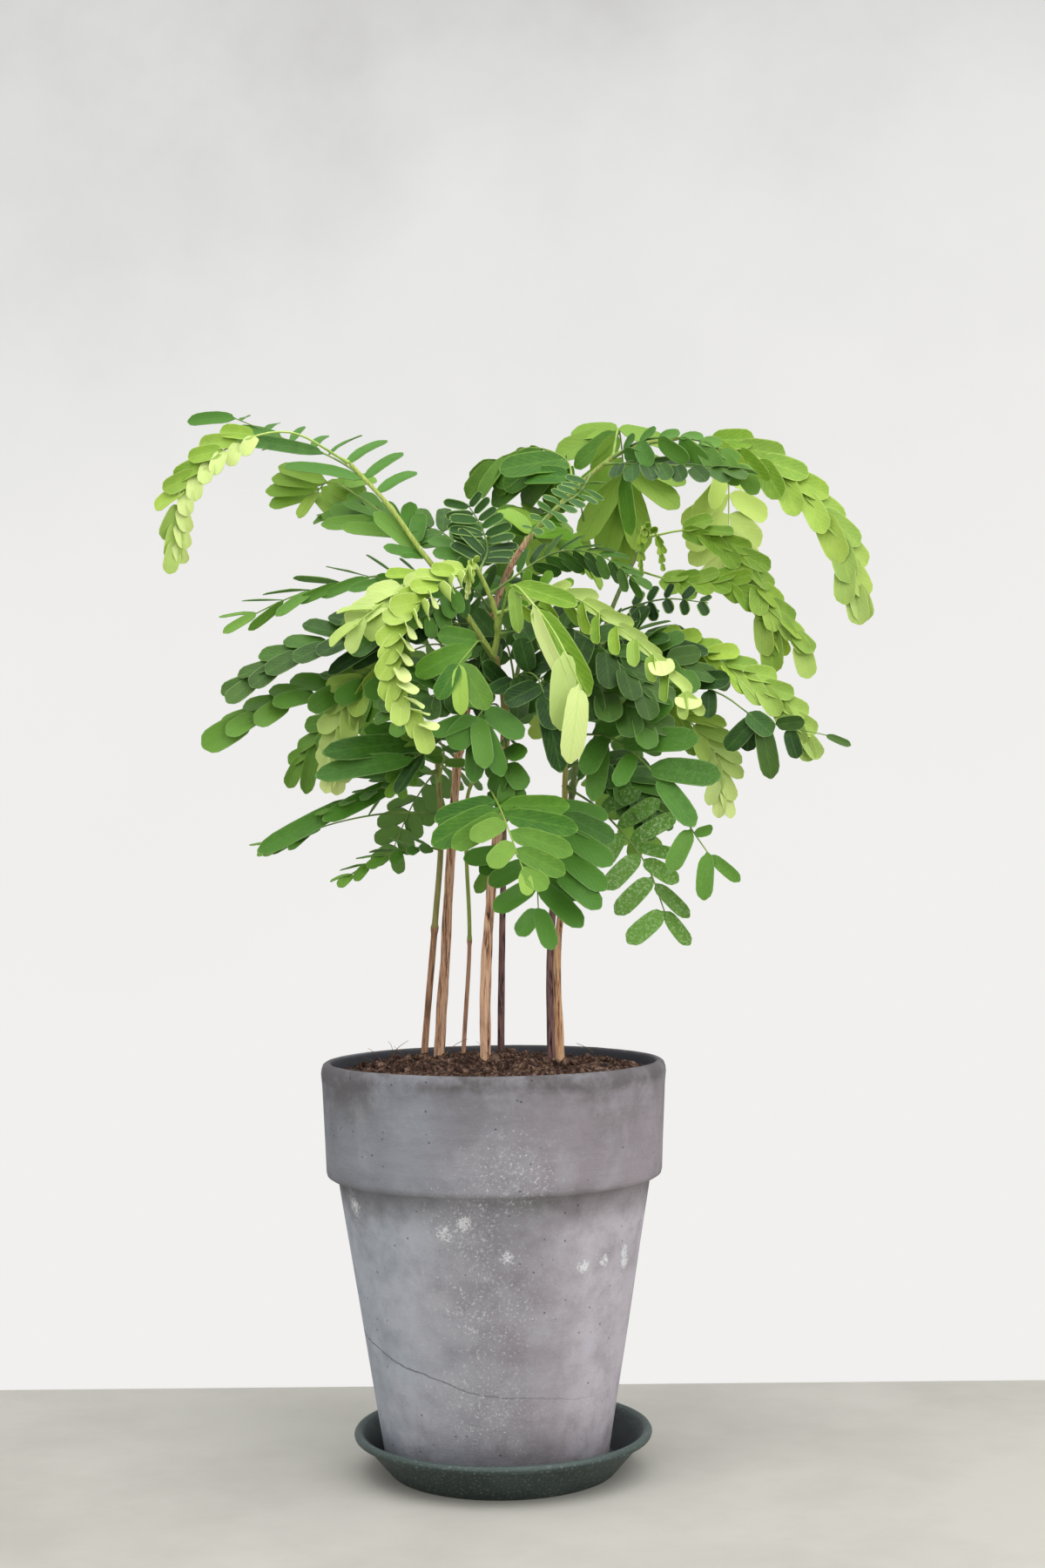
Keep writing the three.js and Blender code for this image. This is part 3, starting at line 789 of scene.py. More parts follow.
    @staticmethod
    def _nearness(
        tree: NodeTree, place: NodeSocket, spots: Sequence[tuple[Point, float]]
    ) -> Node:
        """Works out how near each point is to the nearest of some spots.

        Args:
            tree: The material's tree.
            place: The socket that holds the point.
            spots: Middle and radius of each spot in millimetres.

        Returns:
            The node whose output is 1 in the middle of a spot and 0 outside them all.
        """
        nearness = None
        for middle, radius in spots:
            reach = add_node(
                tree, "VectorMath", {0: place, 1: tuple(c * MM for c in middle)}, operation="DISTANCE"
            )
            near = add_node(
                tree, "MapRange",
                {
                    "Value": reach, "From Min": 0.35 * radius * MM, "From Max": radius * MM, "To Min": 1,
                    "To Max": 0,
                },
            )
            if nearness is None:
                nearness = near
            else:
                nearness = add_node(tree, "Math", {0: nearness, 1: near}, operation="MAXIMUM")
        return nearness

    @staticmethod
    def _hairline(tree: NodeTree, split: Node, cloud: Node) -> Node:
        """Draws the hairline, which falls from 60 mm at the left to 35 mm at the right.

        Args:
            tree: The material's tree.
            split: The node that holds the place along each axis.
            cloud: The noise that makes the line wander.

        Returns:
            The node whose output is the line's share.
        """
        slope = add_node(tree, "Math", {0: split.outputs["X"], 1: 2.0, 2: -0.2}, operation="MULTIPLY_ADD")
        fall = add_node(
            tree, "Math", {0: slope, 1: split.outputs["X"], 2: 0.0365}, operation="MULTIPLY_ADD"
        )
        wander = add_node(tree, "Math", {0: cloud, 1: 0.009, 2: fall}, operation="MULTIPLY_ADD")
        gap = add_node(tree, "Math", {0: split.outputs["Z"], 1: wander}, operation="SUBTRACT")
        size = add_node(tree, "Math", {0: gap}, operation="ABSOLUTE")
        line = add_node(
            tree, "MapRange",
            {"Value": size, "From Min": 0.1 * MM, "From Max": 0.5 * MM, "To Min": 0.65, "To Max": 0},
        )
        fade = add_node(
            tree, "MapRange",
            {
                "Value": split.outputs["X"], "From Min": -30 * MM, "From Max": 40 * MM, "To Min": 1,
                "To Max": 0.1,
            },
        )
        front = add_node(tree, "Math", {0: split.outputs["Y"], 1: 0.0}, operation="LESS_THAN")
        seen = add_node(tree, "Math", {0: line, 1: front}, operation="MULTIPLY")
        share = add_node(tree, "Math", {0: seen, 1: fade}, operation="MULTIPLY")
        return share


@dataclass(frozen=True)
class SaucerFinish:
    """Recycled polypropylene, moulded, dark green with pale flecks and a worn paler lip."""

    name: str = "saucer_plastic"
    body: str = "#273431"
    fleck: str = "#7d8c86"
    worn: str = "#4e5c57"
    # Colour of the painted shadow on the saucer's floor around the pot
    inside: str = "#1d2425"

    def build(self) -> Material:
        """Makes the material.

        Returns:
            The material.
        """
        material, tree, shader = new_surface(self.name, Specular_IOR_Level=0.45)
        place = add_node(tree, "TexCoord").outputs["Object"]
        split = add_node(tree, "SeparateXYZ", {"Vector": place})
        # Flecks are 0.5 to 1 mm wide
        flecks = add_node(tree, "TexNoise", {"Vector": place, "Scale": 1000, "Detail": 3, "Roughness": 0.6})
        cloud = add_node(tree, "TexNoise", {"Vector": place, "Scale": 60, "Detail": 4, "Roughness": 0.6})
        spots = add_node(
            tree, "MapRange",
            {"Value": flecks, "From Min": 0.56, "From Max": 0.66, "To Min": 0, "To Max": 0.55},
        )
        dust = add_node(
            tree, "MapRange",
            {"Value": cloud, "From Min": 0.45, "From Max": 0.75, "To Min": 0, "To Max": 0.4},
        )
        lip = add_node(
            tree, "MapRange",
            {
                "Value": split.outputs["Z"], "From Min": 14.6 * MM, "From Max": 16.4 * MM, "To Min": 0,
                "To Max": 0.55,
            },
        )
        # Painted shadow: level faces low down in the saucer are darkened
        facing = add_node(tree, "NewGeometry")
        up = add_node(tree, "SeparateXYZ", {"Vector": facing.outputs["Normal"]})
        level = add_node(tree, "MapRange", {"Value": up.outputs["Z"], "From Min": 0.2, "From Max": 0.6})
        low = add_node(
            tree, "MapRange",
            {
                "Value": split.outputs["Z"], "From Min": 12 * MM, "From Max": 15.5 * MM, "To Min": 0.85,
                "To Max": 0,
            },
        )
        shadow = add_node(tree, "Math", {0: level, 1: low}, operation="MULTIPLY")
        layers = (spots, self.fleck), (dust, self.worn), (lip, self.worn), (shadow, self.inside)
        body = self.body
        for share, colour in layers:
            body = add_node(tree, "Mix", {0: share, COLOUR_A: body, COLOUR_B: colour}, data_type="RGBA")
        rough = add_node(tree, "Math", {0: cloud, 1: 0.3, 2: 0.36}, operation="MULTIPLY_ADD")
        bump = add_node(tree, "Bump", {"Height": flecks, "Strength": 0.25, "Distance": 0.2 * MM})
        feed(tree, shader, {"Base Color": body, "Roughness": rough, "Normal": bump})
        return material


@dataclass(frozen=True)
class CompostFinish:
    """Moist peat compost: dark crumbs with browner dry edges."""

    name: str
    dark: str
    brown: str
    dry: str

    def build(self) -> Material:
        """Makes the material.

        Returns:
            The material.
        """
        material, tree, shader = new_surface(self.name, Specular_IOR_Level=0.2)
        place = add_node(tree, "TexCoord").outputs["Object"]
        # Crumbs are 1 to 3 mm wide
        crumbs = add_node(
            tree, "TexNoise", {"Vector": place, "Scale": 520, "Detail": 6, "Roughness": 0.75}
        )
        cloud = add_node(tree, "TexNoise", {"Vector": place, "Scale": 110, "Detail": 3, "Roughness": 0.6})
        mixed = add_node(tree, "Math", {0: cloud, 1: 0.4, 2: crumbs}, operation="MULTIPLY_ADD")
        body = add_node(
            tree, "ValToRGB", {"Fac": mixed},
            stops=[(0.57, self.dark), (0.71, self.brown), (0.83, self.dry)],
        )
        rough = add_node(
            tree, "MapRange",
            {"Value": cloud, "From Min": 0.3, "From Max": 0.7, "To Min": 0.75, "To Max": 0.98},
        )
        bump = add_node(tree, "Bump", {"Height": crumbs, "Strength": 0.9, "Distance": 1.2 * MM})
        feed(tree, shader, {"Base Color": body, "Roughness": rough, "Normal": bump})
        return material


@dataclass(frozen=True)
class StoneFinish:
    """Pale ground concrete for the floor, with faint clouds."""

    name: str = "pale_floor"
    pale: str = "#c0bdb4"
    cloud: str = "#b4b1a8"

    def build(self) -> Material:
        """Makes the material.

        Returns:
            The material.
        """
        material, tree, shader = new_surface(self.name, Roughness=0.75, Specular_IOR_Level=0.3)
        place = add_node(tree, "TexCoord").outputs["Object"]
        veil = add_node(tree, "TexNoise", {"Vector": place, "Scale": 7, "Detail": 8, "Roughness": 0.65})
        body = add_node(tree, "ValToRGB", {"Fac": veil}, stops=[(0.38, self.cloud), (0.6, self.pale)])
        feed(tree, shader, {"Base Color": body})
        return material


LEAVES = {
    Age.MATURE: LeafFinish(
        "mature_leaf", "#183c05", "#4a7e20", "#82ac40", "#668e42", "#8aaa66", "#568632", 0.44, 0.08, 0.45
    ),
    Age.DARK: LeafFinish(
        "dark_leaf", "#0e2e06", "#2b5a16", "#4c7a26", "#4c7232", "#8fb05c", "#447028", 0.42, 0.06, 0.8, 0.38
    ),
    Age.MID: LeafFinish(
        "green_leaf", "#30660c", "#64961e", "#a4c452", "#7ca442", "#98bc52", "#70a030", 0.46, 0.12, 0.4
    ),
    Age.LIME: LeafFinish(
        "lime_leaf", "#6c961a", "#a6c43e", "#dcea9a", "#aec45e", "#cee286", "#aecc56", 0.46, 0.18, 0.4
    ),
    Age.PALE: LeafFinish(
        "pale_leaf", "#94b238", "#bcd666", "#e8f0ac", "#b6d06a", "#e2eea0", "#bcd66c", 0.48, 0.2, 0.4
    ),
}

STALKS = {
    Age.MATURE: StalkFinish("green_stalk", "#587a32", "#86a048"),
    Age.DARK: StalkFinish("dark_stalk", "#4f7030", "#87a050"),
    Age.MID: StalkFinish("mid_stalk", "#76983a", "#9cb650"),
    Age.LIME: StalkFinish("lime_stalk", "#9cba4c", "#c0d878"),
    Age.PALE: StalkFinish("pale_stalk", "#b4cc64", "#d4e698"),
}

LEAF_SLOTS = {
    Age.MATURE: "leaf_mature",
    Age.DARK: "leaf_mature",
    Age.MID: "leaf_mid",
    Age.LIME: "leaf_lime",
    Age.PALE: "leaf_pale",
}


@dataclass
class LeafletPlace:
    """Where one leaflet grows, how large it is and how it curves."""

    base: Vector
    out: Vector
    up: Vector
    length: float
    width: float
    bend: float
    cup: float
    wave: float
    skew: float
    # Painted light and random tone of the leaflet, from 0 in painted shade to 1 in painted light
    tone: float
    youth: float
    mottle: float


class LeafletPattern:
    """The one leaflet that is modelled and then copied to each place where one grows.

    It is an oblong blunt blade, narrow where it meets the rib and creased along its midrib.
    """

    WIDTH = 7.0
    LENGTH = 16.0
    THICKNESS = 0.28
    COLUMNS = 4
    ROWS = 7
    # Share of the length and of the half width at each row of points from the root to the tip
    OUTLINE = (
        (0.0, 0.2), (0.07, 0.62), (0.19, 0.86), (0.38, 0.97), (0.62, 1.0), (0.82, 0.95), (0.94, 0.74),
        (1.0, 0.42),
    )
    CREASE = 0.22

    def __init__(self) -> None:
        """Models the blade and keeps the place of each of its points on it."""
        bpy.ops.mesh.primitive_grid_add(x_subdivisions=self.COLUMNS, y_subdivisions=self.ROWS, size=1)
        self.piece = bpy.context.view_layer.objects.active
        mesh = self.piece.data
        mesh.uv_layers[0].name = "leaf_uv"
        for point in mesh.vertices:
            across = 2 * point.co.x
            row = round((point.co.y + 0.5) * self.ROWS)
            reach, half = self.OUTLINE[row]
            rounding = 0.05 * (1 - reach) ** 3 - 0.045 * reach**4
            point.co = (
                across * half * self.WIDTH / 2 * MM,
                (reach + rounding * across * across) * self.LENGTH * MM,
                0,
            )
        choose(self.piece)
        wall = self.piece.modifiers.new("thickness", "SOLIDIFY")
        wall.thickness = self.THICKNESS * MM
        wall.offset = 0
        bpy.ops.object.modifier_apply(modifier=wall.name)
        smooth(self.piece, 50)
        mesh = self.piece.data
        marks = mesh.attributes.new("leaf", "FLOAT_COLOR", "POINT")
        self.count = len(mesh.vertices)
        flat = np.zeros(self.count * 3)
        mesh.vertices.foreach_get("co", flat)
        flat = flat.reshape(-1, 3) / MM
        self.across = flat[:, 0] / (self.WIDTH / 2)
        self.reach = flat[:, 1] / self.LENGTH
        self.height = flat[:, 2]
        self.under = (self.height < 0).astype(float)
        marks.data.foreach_set("color", np.zeros(self.count * 4))

    def copy_to(self, place: LeafletPlace, material: Material) -> Object:
        """Copies the leaflet and curves the copy to its place.

        Args:
            place: Where it grows and how.
            material: Its finish.

        Returns:
            The copy, with its own mesh.
        """
        mesh = self.piece.data.copy()
        bend = math.radians(place.bend) if abs(place.bend) > 0.5 else 0.01
        cup = math.radians(place.cup) if abs(place.cup) > 0.5 else 0.01
        half = place.width / 2
        reach = self.reach + place.skew * self.across * (1 - self.reach) ** 2
        run = place.length * np.sin(bend * reach) / bend
        drop = place.length * (1 - np.cos(bend * reach)) / bend
        side = half * np.sin(cup * self.across) / cup
        rise = half * (1 - np.cos(cup * self.across)) / cup
        crease = self.CREASE * np.exp(-((self.across / 0.3) ** 2)) * np.sin(np.pi * np.clip(reach, 0, 1))
        ripple = place.wave * np.abs(self.across) ** 2 * np.sin(9 * reach + 4 * place.tone)
        lift = self.height + rise - crease + ripple
        out = np.array(place.out)
        up = np.array(place.up)
        broad = np.cross(out, up)
        tilt = bend * reach
        local_up = np.cos(tilt)[:, None] * up + np.sin(tilt)[:, None] * out
        spots = np.array(place.base) + run[:, None] * out - drop[:, None] * up
        spots = spots + side[:, None] * broad + lift[:, None] * local_up
        mesh.vertices.foreach_set("co", (spots * MM).ravel())
        marks = np.empty((self.count, 4))
        marks[:, 0] = place.tone
        marks[:, 1] = place.youth
        marks[:, 2] = self.under
        marks[:, 3] = place.mottle
        mesh.attributes["leaf"].data.foreach_set("color", marks.ravel())
        mesh.materials.append(material)
        copy = bpy.data.objects.new("leaflet", mesh)
        bpy.context.scene.collection.objects.link(copy)
        return copy

    def remove(self) -> None:
        """Takes the pattern out of the scene."""
        bpy.data.objects.remove(self.piece)


# Directions that a frond's upper face looks in where it leaves its stem
UP: Point = (0, -0.35, 1)
HALF: Point = (0, -1, 1)
FRONT: Point = (0, -1, 0.3)
BACK: Point = (0, 1, 0.8)


@dataclass
class Stem:
    """One stem or shoot: a tapered woody rod with node rings and peeling bark."""

    name: str
    node: str
    wood: Wood
    foot: float
    tip: float
    way: tuple[Point, ...]
    finish: BarkFinish
    rings: tuple[float, ...] = ()
    route: Route = field(init=False)

    SOIL_REACH = 168
    FOOT_Z = 139.0
    STATION = 1.5
    RING_SWELL = 0.4
    RING_WIDTH = 1.3

    def __post_init__(self) -> None:
        """Lays the route, which starts below the soil for a stem that grows from it."""
        points = [Vector(point) for point in self.way]
        if points[0].z < self.SOIL_REACH:
            points.insert(0, Vector((points[0].x, points[0].y, self.FOOT_Z)))
        self.route = Route(points)

    def radius(self, distance: float) -> float:
        """The stem's plain radius in millimetres at a distance along it."""
        return self.foot + (self.tip - self.foot) * distance / self.route.length

    def build(self, material: Material) -> Object:
        """Makes the stem with its rings and its ridged bark.

        Args:
            material: Its finish.

        Returns:
            The stem.
        """
        count = math.ceil(self.route.length / self.STATION)
        points = []
        radii = []
        for i in range(count + 1):
            distance = self.route.length * i / count
            point = self.route.at(distance)
            swell = sum(math.exp(-(((point.z - ring) / self.RING_WIDTH) ** 2)) for ring in self.rings)
            points.append(point)
            radii.append(self.radius(distance) * (1 + self.RING_SWELL * swell))
        radii[-1] *= 0.6
        stem = tube(self.name, points, radii, material, roundness=5)
        rough = 0.5 if self.wood is Wood.BARK else 0.12
        change = self.finish.change * MM

        def ridge(place: Vector) -> float:
            """Works out how far the bark stands out.

            Args:
                place: A place on the stem in metres.

            Returns:
                The move outward in millimetres.
            """
            share = 1.0 if place.z < change else 0.35
            deep = noise_at(place, 900, 14)
            wide = noise_at(place, 330, 6)
            return share * rough * (0.7 * deep + 0.8 * wide) * min(1.0, self.foot / 2)

        push_out(stem, ridge)
        return stem


@dataclass
class Frond:
    """One compound leaf: a rib on a short stalk that bears pairs of leaflets to its end."""

    name: str
    stem: str
    age: Age
    face: Point
    pairs: int
    leaf: float
    way: tuple[Point, ...]
    wide: float = 0.0
    bare: float = 10.0
    fold: float = 10.0
    left_fold: float | None = None
    lean: tuple[float, float] = (58.0, 34.0)
    left_lean: float = 0.0
    left_size: float = 1.0
    left_twist: float | None = None
    left_youth: float | None = None
    # Tilt that lays each leaflet over the foot of the next, in degrees
    lift: float = 5.0
    droop: float = 6.0
    taper: float = 0.2
    bend: float = 16.0
    cup: float = 16.0
    twist: float = 10.0
    wave: float = 0.15
    youth: float = 0.15
    # Painted light and random tone of the leaflets: 0 paints them as in shade, 1 as in light
    tone: float = 0.4
    mottle: float = 0.0
    # Leaflets placed one by one: share of the rib, tip, width, roll in degrees and youth, of which
    # the last two are 0 where they are left out
    singles: tuple[tuple[float | Point, ...], ...] = ()

    STALK_RADIUS = 0.55
    TIP_RADIUS = 0.26
    SWELLING = 0.5
    SWELLING_LENGTH = 2.2
    SEAT = 0.35
    # Width of a leaflet as a share of its length, where the frond doesn't say it
    SLIM = 0.46
    # Steps from the foot to the first pair, and how far each turns the rib's face to the frond's
    STEPS = 200
    PULL = 0.03
    # Spread of the leaflets' lean, fold and twist in degrees
    SPREAD = (4.5, 8.0, 10.0)

    def build(self, stem: Stem, pattern: LeafletPattern, leaf: Material, stalk: Material) -> Object:
        """Grows the frond on its stem.

        Args:
            stem: The stem that it leaves.
            pattern: The leaflet to copy.
            leaf: Finish of its leaflets.
            stalk: Finish of its rib.

        Returns:
            The frond as one piece.
        """
        chance = random.Random(self.name)
        route = self._route(stem)
        pieces = [self._rib(route, stalk)]
        normal = Vector(self.face).normalized()
        pitch = (route.length - self.bare) / max(1, self.pairs - 0.5)
        face = normal.copy()
        for i in range(1, self.STEPS):
            # The upper face turns with the rib from its foot to the first pair
            tangent = route.tangent(self.bare * i / self.STEPS)
            normal = normal + face * self.PULL
            normal = (normal - tangent * normal.dot(tangent)).normalized()
        for pair in range(self.pairs):
            distance = self.bare + pair * pitch
            tangent = route.tangent(distance)
            normal = normal + face
            normal = (normal - tangent * normal.dot(tangent)).normalized()
            share = pair / max(1, self.pairs - 1)
            for sign in (1, -1):
                place = self._leaflet(route.at(distance), tangent, normal, sign, share, chance)
                pieces.append(pattern.copy_to(place, leaf))
        for single in self.singles:
            pieces.append(pattern.copy_to(self._single(route, chance, *single), leaf))
        return joined(f"leaves_{self.name}", pieces)

    def _route(self, stem: Stem) -> Route:
        """Lays the rib from the stem's surface through the rest of its way.

        Args:
            stem: The stem that it leaves.

        Returns:
            The rib's middle line.
        """
        points = [Vector(point) for point in self.way]
        distance = stem.route.nearest(points[0])
        centre = stem.route.at(distance)
        along = stem.route.tangent(distance)
        out = points[1] - centre
        out = (out - along * out.dot(along)).normalized()
        points[0] = centre + out * (stem.radius(distance) - self.SEAT)
        return Route(points)

    def _rib(self, route: Route, material: Material) -> Object:
        """Makes the rib, which is swollen where it leaves the stem and thin at its end.

        Args:
            route: The rib's middle line.
            material: Its finish.

        Returns:
            The rib.
        """
        count = max(12, round(route.length / 4))
        points = []
        radii = []
        for i in range(count + 1):
            share = i / count
            distance = route.length * share
            radius = self.STALK_RADIUS + (self.TIP_RADIUS - self.STALK_RADIUS) * share
            points.append(route.at(distance))
            radii.append(radius + self.SWELLING * math.exp(-((distance / self.SWELLING_LENGTH) ** 2)))
        return tube("rib", points, radii, material, roundness=1)

    def _single(
        self,
        route: Route,
        chance: random.Random,
        share: float,
        tip: Point,
        width: float,
        roll: float = 0.0,
        youth: float = 0.0,
    ) -> LeafletPlace:
        """Works out a leaflet that is placed by itself.

        Args:
            route: The rib's middle line.
            chance: The frond's own source of small differences.
            share: Share of the rib at which it grows.
            tip: Where it ends.
            width: Its width in millimetres.
            roll: Turn about its own length in degrees, from facing as the frond does.
            youth: How young it is, from 0 to 1.

        Returns:
            The leaflet's place.
        """
        base = route.at(share * route.length)
        reach = Vector(tip) - base
        out = reach.normalized()
        up = Vector(self.face)
        up = (up - out * up.dot(out)).normalized()
        turn = math.radians(roll + chance.gauss(0, 6))
        up = up * math.cos(turn) + out.cross(up) * math.sin(turn)
        return LeafletPlace(
            base=base, out=out, up=up, length=reach.length, width=width,
            bend=self.bend + chance.gauss(0, 4), cup=self.cup + chance.gauss(0, 5),
            wave=self.wave * chance.uniform(0.3, 1.6), skew=0.05 * chance.choice((-1, 1)),
            tone=min(1.0, max(0.0, self.tone + chance.gauss(0, 0.2))), youth=youth,
            mottle=self.mottle * chance.uniform(0.4, 1.0),
        )

    def _leaflet(
        self,
        centre: Vector,
        tangent: Vector,
        normal: Vector,
        sign: int,
        share: float,
        chance: random.Random,
    ) -> LeafletPlace:
        """Works out one leaflet of a pair.

        Args:
            centre: The rib's middle line at the pair.
            tangent: The rib's direction there.
            normal: Where the frond's upper face looks there.
            sign: 1 for the side at tangent cross normal and -1 for the other.
            share: The pair's share of the way from the first pair to the last.
            chance: The frond's own source of small differences.

        Returns:
            The leaflet's place.
        """
        first, last = self.lean
        left = sign < 0
        tilt = first + (last - first) * share * share + (self.left_lean if left else 0)
        lean = math.radians(tilt + chance.gauss(0, self.SPREAD[0]))
        turn = self.left_fold if left and self.left_fold is not None else self.fold
        fold = math.radians(turn + chance.gauss(0, self.SPREAD[1]))
        roll = self.left_twist if left and self.left_twist is not None else self.twist
        twist = math.radians(roll + chance.gauss(0, self.SPREAD[2]))
        size = (1 - self.taper * share) * (0.86 + 0.14 * math.sin(math.pi * share))
        size *= chance.uniform(0.92, 1.08)
        size *= self.left_size if left else 1.0
        side = tangent.cross(normal) * sign
        across = side * math.cos(fold) + normal * math.sin(fold)
        out = across * math.sin(lean) + tangent * math.cos(lean)
        up = normal * math.cos(fold) - side * math.sin(fold)
        rise = math.radians(self.lift)
        out, up = out * math.cos(rise) + up * math.sin(rise), up * math.cos(rise) - out * math.sin(rise)
        lead = tangent * math.sin(lean) - across * math.cos(lean)
        up = up * math.cos(twist) - lead * math.sin(twist)
        out = (out - Vector((0, 0, math.sin(math.radians(self.droop))))).normalized()
        up = (up - out * up.dot(out)).normalized()
        width = (self.wide or self.SLIM * self.leaf) * size**0.5 * chance.uniform(0.95, 1.05)
        youth = self.left_youth if left and self.left_youth is not None else self.youth * share * share
        return LeafletPlace(
            base=centre + out * 0.2, out=out, up=up, length=self.leaf * size, width=width,
            bend=self.bend + chance.gauss(0, 6), cup=self.cup + chance.gauss(0, 6),
            wave=self.wave * chance.uniform(0.3, 1.6), skew=-0.05 * sign,
            tone=min(1.0, max(0.0, self.tone + chance.gauss(0, 0.22))),
            youth=min(1.0, youth + max(0.0, chance.gauss(0, 0.05))),
            mottle=self.mottle * chance.uniform(0.4, 1.0),
        )


@dataclass
class Saucer:
    """The dark plastic saucer: a flat floor, a flared wall and a rolled lip."""

    base: float = 46.5
    lip: float = 60.5
    height: float = 17.0
    floor: float = 2.6
    sides: int = 120

    def build(self, finish: SaucerFinish) -> Object:
        """Makes the saucer.

        Args:
            finish: Its finish.

        Returns:
            The saucer.
        """
        base, lip, top = self.base, self.lip, self.height
        profile = [
            (base - 6, 0), (base - 0.8, 0), (base, 0.8), (lip - 4, top - 4.6), (lip - 2.6, top - 3.6),
            (lip - 0.4, top - 3), (lip, top - 1.6), (lip - 0.8, top - 0.2), (lip - 2, top),
            (lip - 3.4, top - 0.8), (lip - 6, top - 4.2), (base + 0.4, self.floor), (base - 6, self.floor),
        ]
        saucer = turned_shell("saucer_moulding", profile, self.sides, 0)
        apply_bevel(saucer, 0.35, 18)
        saucer.data.materials.append(finish.build())
        smooth(saucer, 35)
        return saucer


@dataclass
class Pot:
    """The clay pot: a tapered wall with a deep band under a rounded rim."""

    rim: float = 70.0
    top: float = 165.8
    foot_radius: float = 45.2
    foot_z: float = 2.9
    waist: float = 63.4
    band_bottom: float = 119.6
    band: float = 68.0
    wall: float = 4.8
    floor: float = 6.0
    drain: float = 8.0
    sides: int = 160

    def build(self, finish: ClayFinish) -> Object:
        """Makes the pot with the slight unevenness of a thrown wall.

        Args:
            finish: Its finish.

        Returns:
            The pot.
        """
        rim, top, foot, inner = self.rim, self.top, self.foot_z, self.rim - self.wall
        outside = [
            (
                self.foot_radius + (self.waist - self.foot_radius) * share,
                foot + 2.1 + (self.band_bottom - foot - 2.1) * share,
            )
            for share in (0, 0.15, 0.3, 0.45, 0.6, 0.75, 0.9, 0.985)
        ]
        profile = [
            (self.drain, foot), (self.foot_radius - 1.8, foot), *outside,
            (self.waist + 0.9, self.band_bottom - 0.3), (self.band - 1.6, self.band_bottom + 0.1),
            (self.band - 0.4, self.band_bottom + 0.9), (self.band, self.band_bottom + 2.4),
            (self.band + 0.5, self.band_bottom + 14), (self.band + 1.1, self.band_bottom + 26),
            (rim - 0.4, top - 9), (rim, top - 4.5), (rim - 0.2, top - 2.6), (rim - 0.8, top - 1),
            (rim - 1.9, top - 0.2), (rim - 3.1, top), (inner + 0.7, top - 0.6), (inner, top - 2.4),
            (inner - 1.2, top - 9), (self.foot_radius - self.wall, foot + self.floor + 1.5),
            (self.foot_radius - self.wall - 2, foot + self.floor), (self.drain, foot + self.floor),
            (self.drain, foot),
        ]
        pot = turned_shell("pot_clay", profile, self.sides, POT_X)
        push_out(pot, self._unevenness)
        pot.data.materials.append(finish.build())
        smooth(pot, 50)
        return pot

    @staticmethod
    def _unevenness(place: Vector) -> float:
        """The wall's wander in millimetres, with small chips at the band's lower edge.

        Args:
            place: A place on the wall in metres.

        Returns:
            The move outward.
        """
        wander = 0.18 * noise_at(place, 22) + 0.08 * noise_at(place, 160, 0.3)
        chip = max(0.0, noise_at(place, 260) - 0.45) if abs(place.z - 0.1205) < 0.002 else 0.0
        return wander - 0.9 * chip


